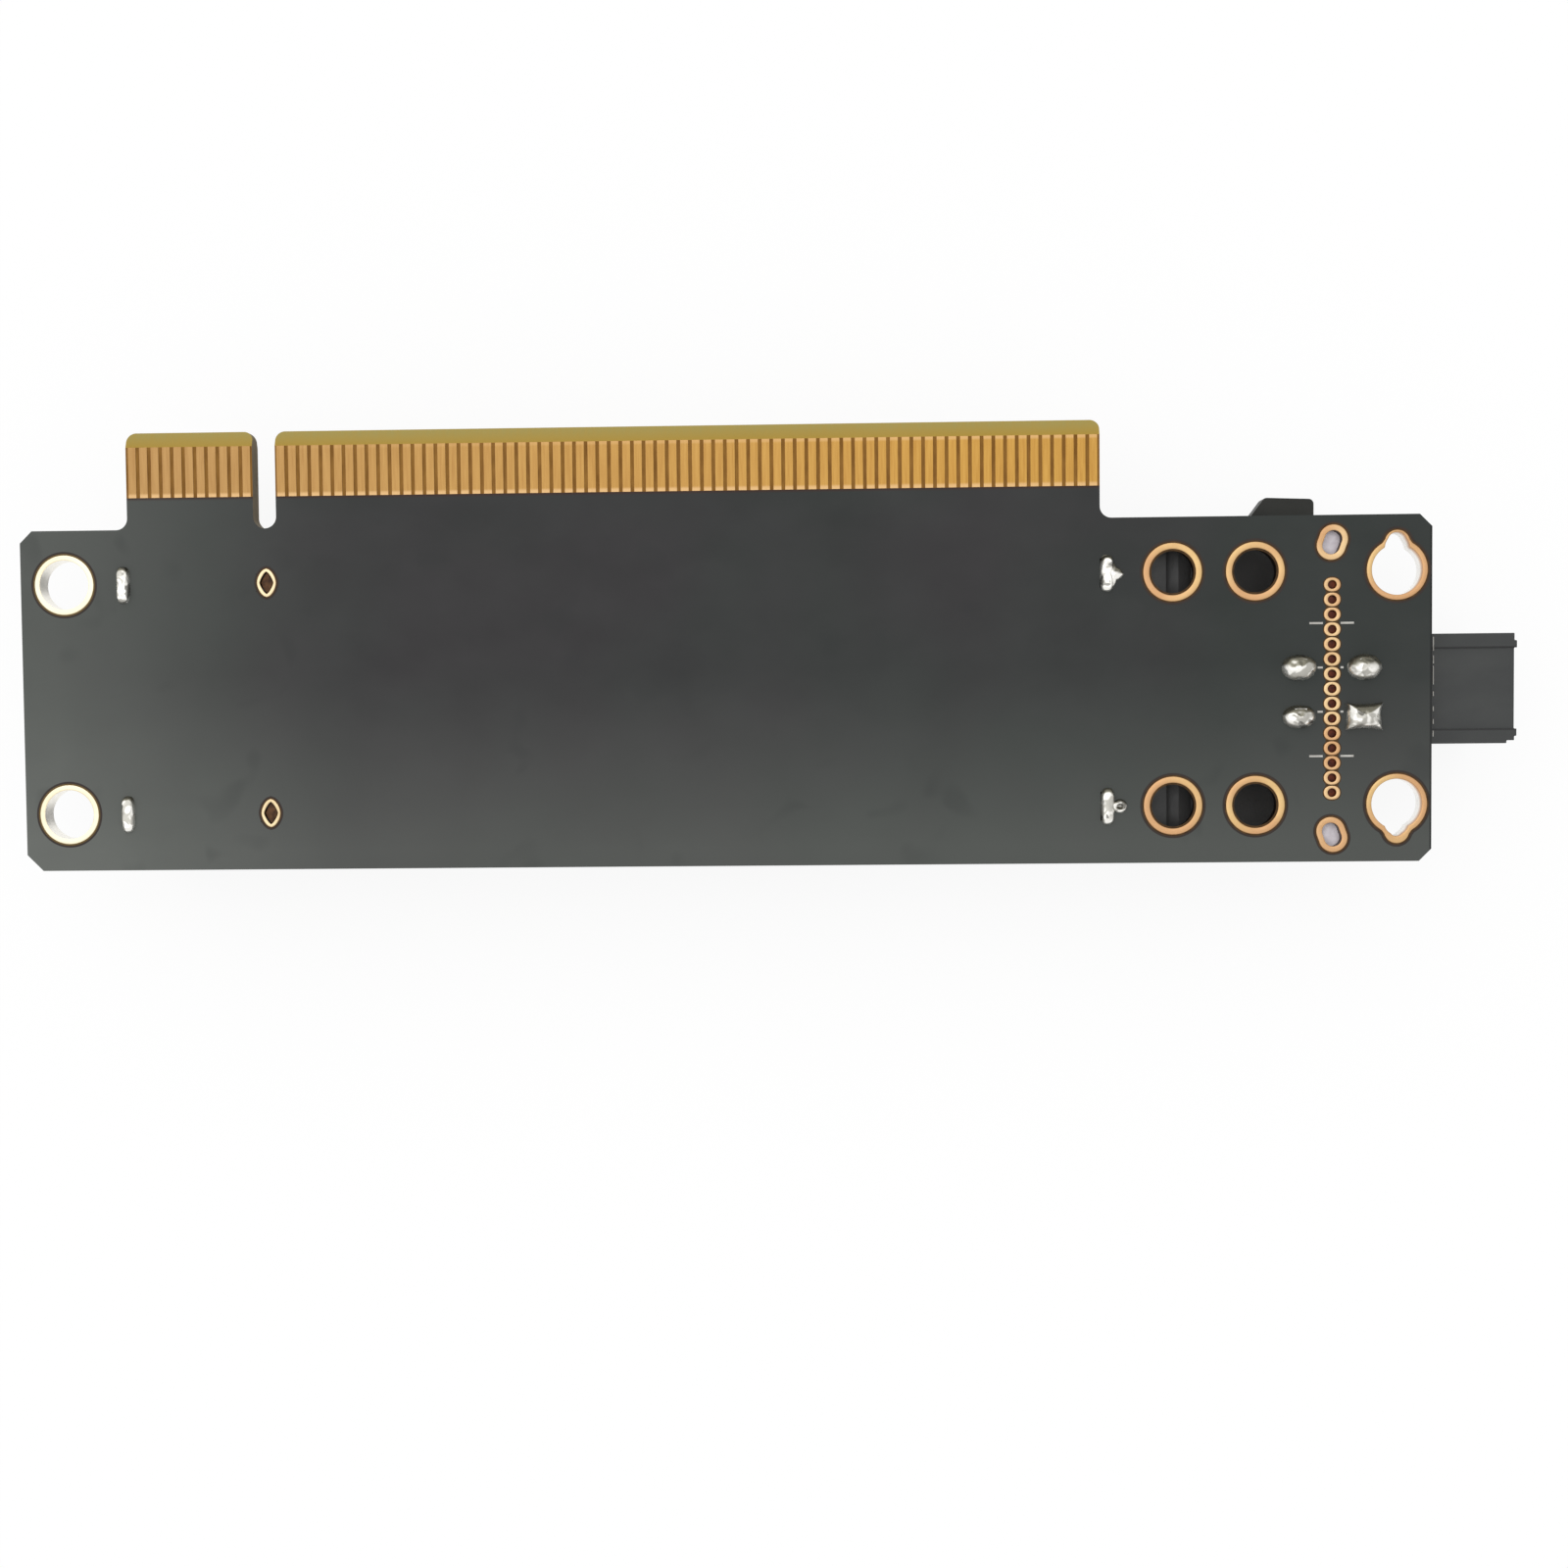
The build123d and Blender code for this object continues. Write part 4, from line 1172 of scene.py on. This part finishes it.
def chip_places(side):
    """The middles of the small parts on one side of the clock chip."""
    steps = [CHIP_MIDDLE + side * (FIRST_PART + i * PART_STEP) for i in range(PARTS_IN_ROW)]
    return [(x, y) for x in steps for y in CHIP_ROWS]


def chip_bodies(name, side, height, material, replaced):
    """The bodies of one kind of small part, without their end caps."""
    bm = bmesh.new()
    half_x = PART_LENGTH / 2 - CAP_LENGTH
    half_y = PART_WIDTH / 2 - BODY_NARROWER
    for x, y in chip_places(side):
        low = on_board(x - half_x, y - half_y, COMPONENT_FACE - (height - BODY_LOWER) * MM)
        add_block(bm, low, on_board(x + half_x, y + half_y, COMPONENT_FACE))
    make_piece(name, bm, material, replaces=[replaced])


def chip_caps(name, side, height):
    """The tinned ends of the same parts, with rounded edges."""
    bm = bmesh.new()
    for x, y in chip_places(side):
        for end in (-1, 1):
            outer = x + end * PART_LENGTH / 2
            inner = outer - end * CAP_LENGTH
            low = on_board(min(outer, inner), y - PART_WIDTH / 2, COMPONENT_FACE - height * MM)
            add_block(bm, low, on_board(max(outer, inner), y + PART_WIDTH / 2, COMPONENT_FACE))
    bmesh.ops.bevel(
        bm,
        geom=list(bm.edges),
        offset=CAP_EDGE * MM,
        offset_type="OFFSET",
        segments=2,
        profile=0.5,
        affect="EDGES",
        material=-1,
    )
    make_piece(name, bm, tin.material)


chip_bodies("capacitor_bodies", -1, CAPACITOR_HEIGHT, ceramic, "chip_capacitors")
chip_caps("capacitor_ends", -1, CAPACITOR_HEIGHT)
chip_bodies("resistor_bodies", 1, RESISTOR_HEIGHT, chip_plastic, "chip_resistors")
chip_caps("resistor_ends", 1, RESISTOR_HEIGHT)

# %% [markdown]
# ## Floor, light and background
#
# The card lies on a white sheet under soft light. The world lights everything evenly, and one very
# broad sun-like lamp gives the shadows a direction. Their strengths add up so that a colour renders
# about as it is written. To the camera and to shiny metal, the sheet and the world glow plain
# white, and the sheet keeps a little of the card's shadow because part of it still only takes the
# light.


# %% What the camera and shiny surfaces see
def seen_directly(tree):
    """1 for rays of the camera, mirrors and glass, and 0 for the rest."""
    rays = tree.nodes.new("ShaderNodeLightPath")
    total = rays.outputs["Is Camera Ray"]
    for name in ("Is Glossy Ray", "Is Transmission Ray"):
        either = tree.nodes.new("ShaderNodeMath")
        either.operation = "MAXIMUM"
        tree.links.new(total, either.inputs[0])
        tree.links.new(rays.outputs[name], either.inputs[1])
        total = either.outputs["Value"]
    return total


def scaled_to(tree, value, low, high):
    """That value, moved to run from low to high."""
    remap = tree.nodes.new("ShaderNodeMapRange")
    tree.links.new(value, remap.inputs["Value"])
    remap.inputs["To Min"].default_value = low
    remap.inputs["To Max"].default_value = high
    return remap.outputs["Result"]


# %% Floor
SHEET_SIZE = 4.0
SHEET_DROP = 0.02 * MM
SHEET_GLOW = 0.88

bm = bmesh.new()
bmesh.ops.create_grid(bm, x_segments=1, y_segments=1, size=SHEET_SIZE)
bmesh.ops.translate(bm, verts=bm.verts, vec=(0, 0, -SHEET_DROP))
floor_mesh = bpy.data.meshes.new("floor")
bm.to_mesh(floor_mesh)
bm.free()
floor = bpy.data.objects.new("floor", floor_mesh)
bpy.context.scene.collection.objects.link(floor)
paper = Finish("white_sheet", 0.9, gloss=0.1)
paper.shader.inputs["Base Color"].default_value = (0.98, 0.98, 0.98, 1)
tree = paper.material.node_tree
glow = tree.nodes.new("ShaderNodeEmission")
mix = tree.nodes.new("ShaderNodeMixShader")
tree.links.new(scaled_to(tree, seen_directly(tree), 0.0, SHEET_GLOW), mix.inputs["Fac"])
tree.links.new(paper.shader.outputs["BSDF"], mix.inputs[1])
tree.links.new(glow.outputs["Emission"], mix.inputs[2])
tree.links.new(mix.outputs["Shader"], tree.nodes["Material Output"].inputs["Surface"])
floor_mesh.materials.append(paper.material)
floor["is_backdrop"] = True
print("floor made")

# %% World and lamp
FILL = 0.72
LAMP_STRENGTH = 1.15
LAMP_BREADTH = math.radians(80)
LAMP_TURN = (math.radians(-24), math.radians(-20), 0)

world = bpy.data.worlds.new("studio")
bpy.context.scene.world = world
world.use_nodes = True
tree = world.node_tree
background = tree.nodes["Background"]
tree.links.new(scaled_to(tree, seen_directly(tree), FILL, 1.0), background.inputs["Strength"])
background.inputs["Color"].default_value = (1, 1, 1, 1)

lamp_data = bpy.data.lights.new("soft_lamp", "SUN")
lamp_data.energy = LAMP_STRENGTH
lamp_data.angle = LAMP_BREADTH
lamp = bpy.data.objects.new("soft_lamp", lamp_data)
lamp.rotation_euler = LAMP_TURN
bpy.context.scene.collection.objects.link(lamp)
print("world and lamp made")

# %% [markdown]
# ## Camera
#
# The camera hangs above the card and looks almost straight down. Its place and turn were worked out
# from where the holes, edges and contacts lie in the photograph. The lens is about as long as a
# standard one, so the right end of the card shows a little of its side.

# %% Camera
CAMERA_PLACE = Vector((5.737, -6.459, 165.106)) * MM
CAMERA_RIGHT = Vector((0.999585, -0.009616, -0.027159))
CAMERA_UP = Vector((0.008628, 0.999305, -0.036254))
CAMERA_BACK = Vector((0.027488, 0.036004, 0.998974))
SENSOR_WIDTH = 36.0
LENS_LENGTH = 40.482

camera_data = bpy.data.cameras.new("camera")
camera_data.sensor_width = SENSOR_WIDTH
camera_data.lens = LENS_LENGTH
camera_data.clip_start = 0.005
camera_data.clip_end = 20.0
camera = bpy.data.objects.new("camera", camera_data)
turn = Matrix((CAMERA_RIGHT, CAMERA_UP, CAMERA_BACK)).transposed().to_4x4()
camera.matrix_world = Matrix.Translation(CAMERA_PLACE) @ turn
bpy.context.scene.collection.objects.link(camera)
bpy.context.scene.camera = camera
bpy.context.scene.view_settings.view_transform = "Standard"
print("camera at", [round(v * 1000, 1) for v in CAMERA_PLACE], "mm")

# %% Print how far the pieces reach past the CAD box
shown_low, shown_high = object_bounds()
pairs = zip((*shown_low, *shown_high), (*cad_low, *cad_high))
print("grown by mm:", [round((shown - cad) * 1000, 3) for shown, cad in pairs])
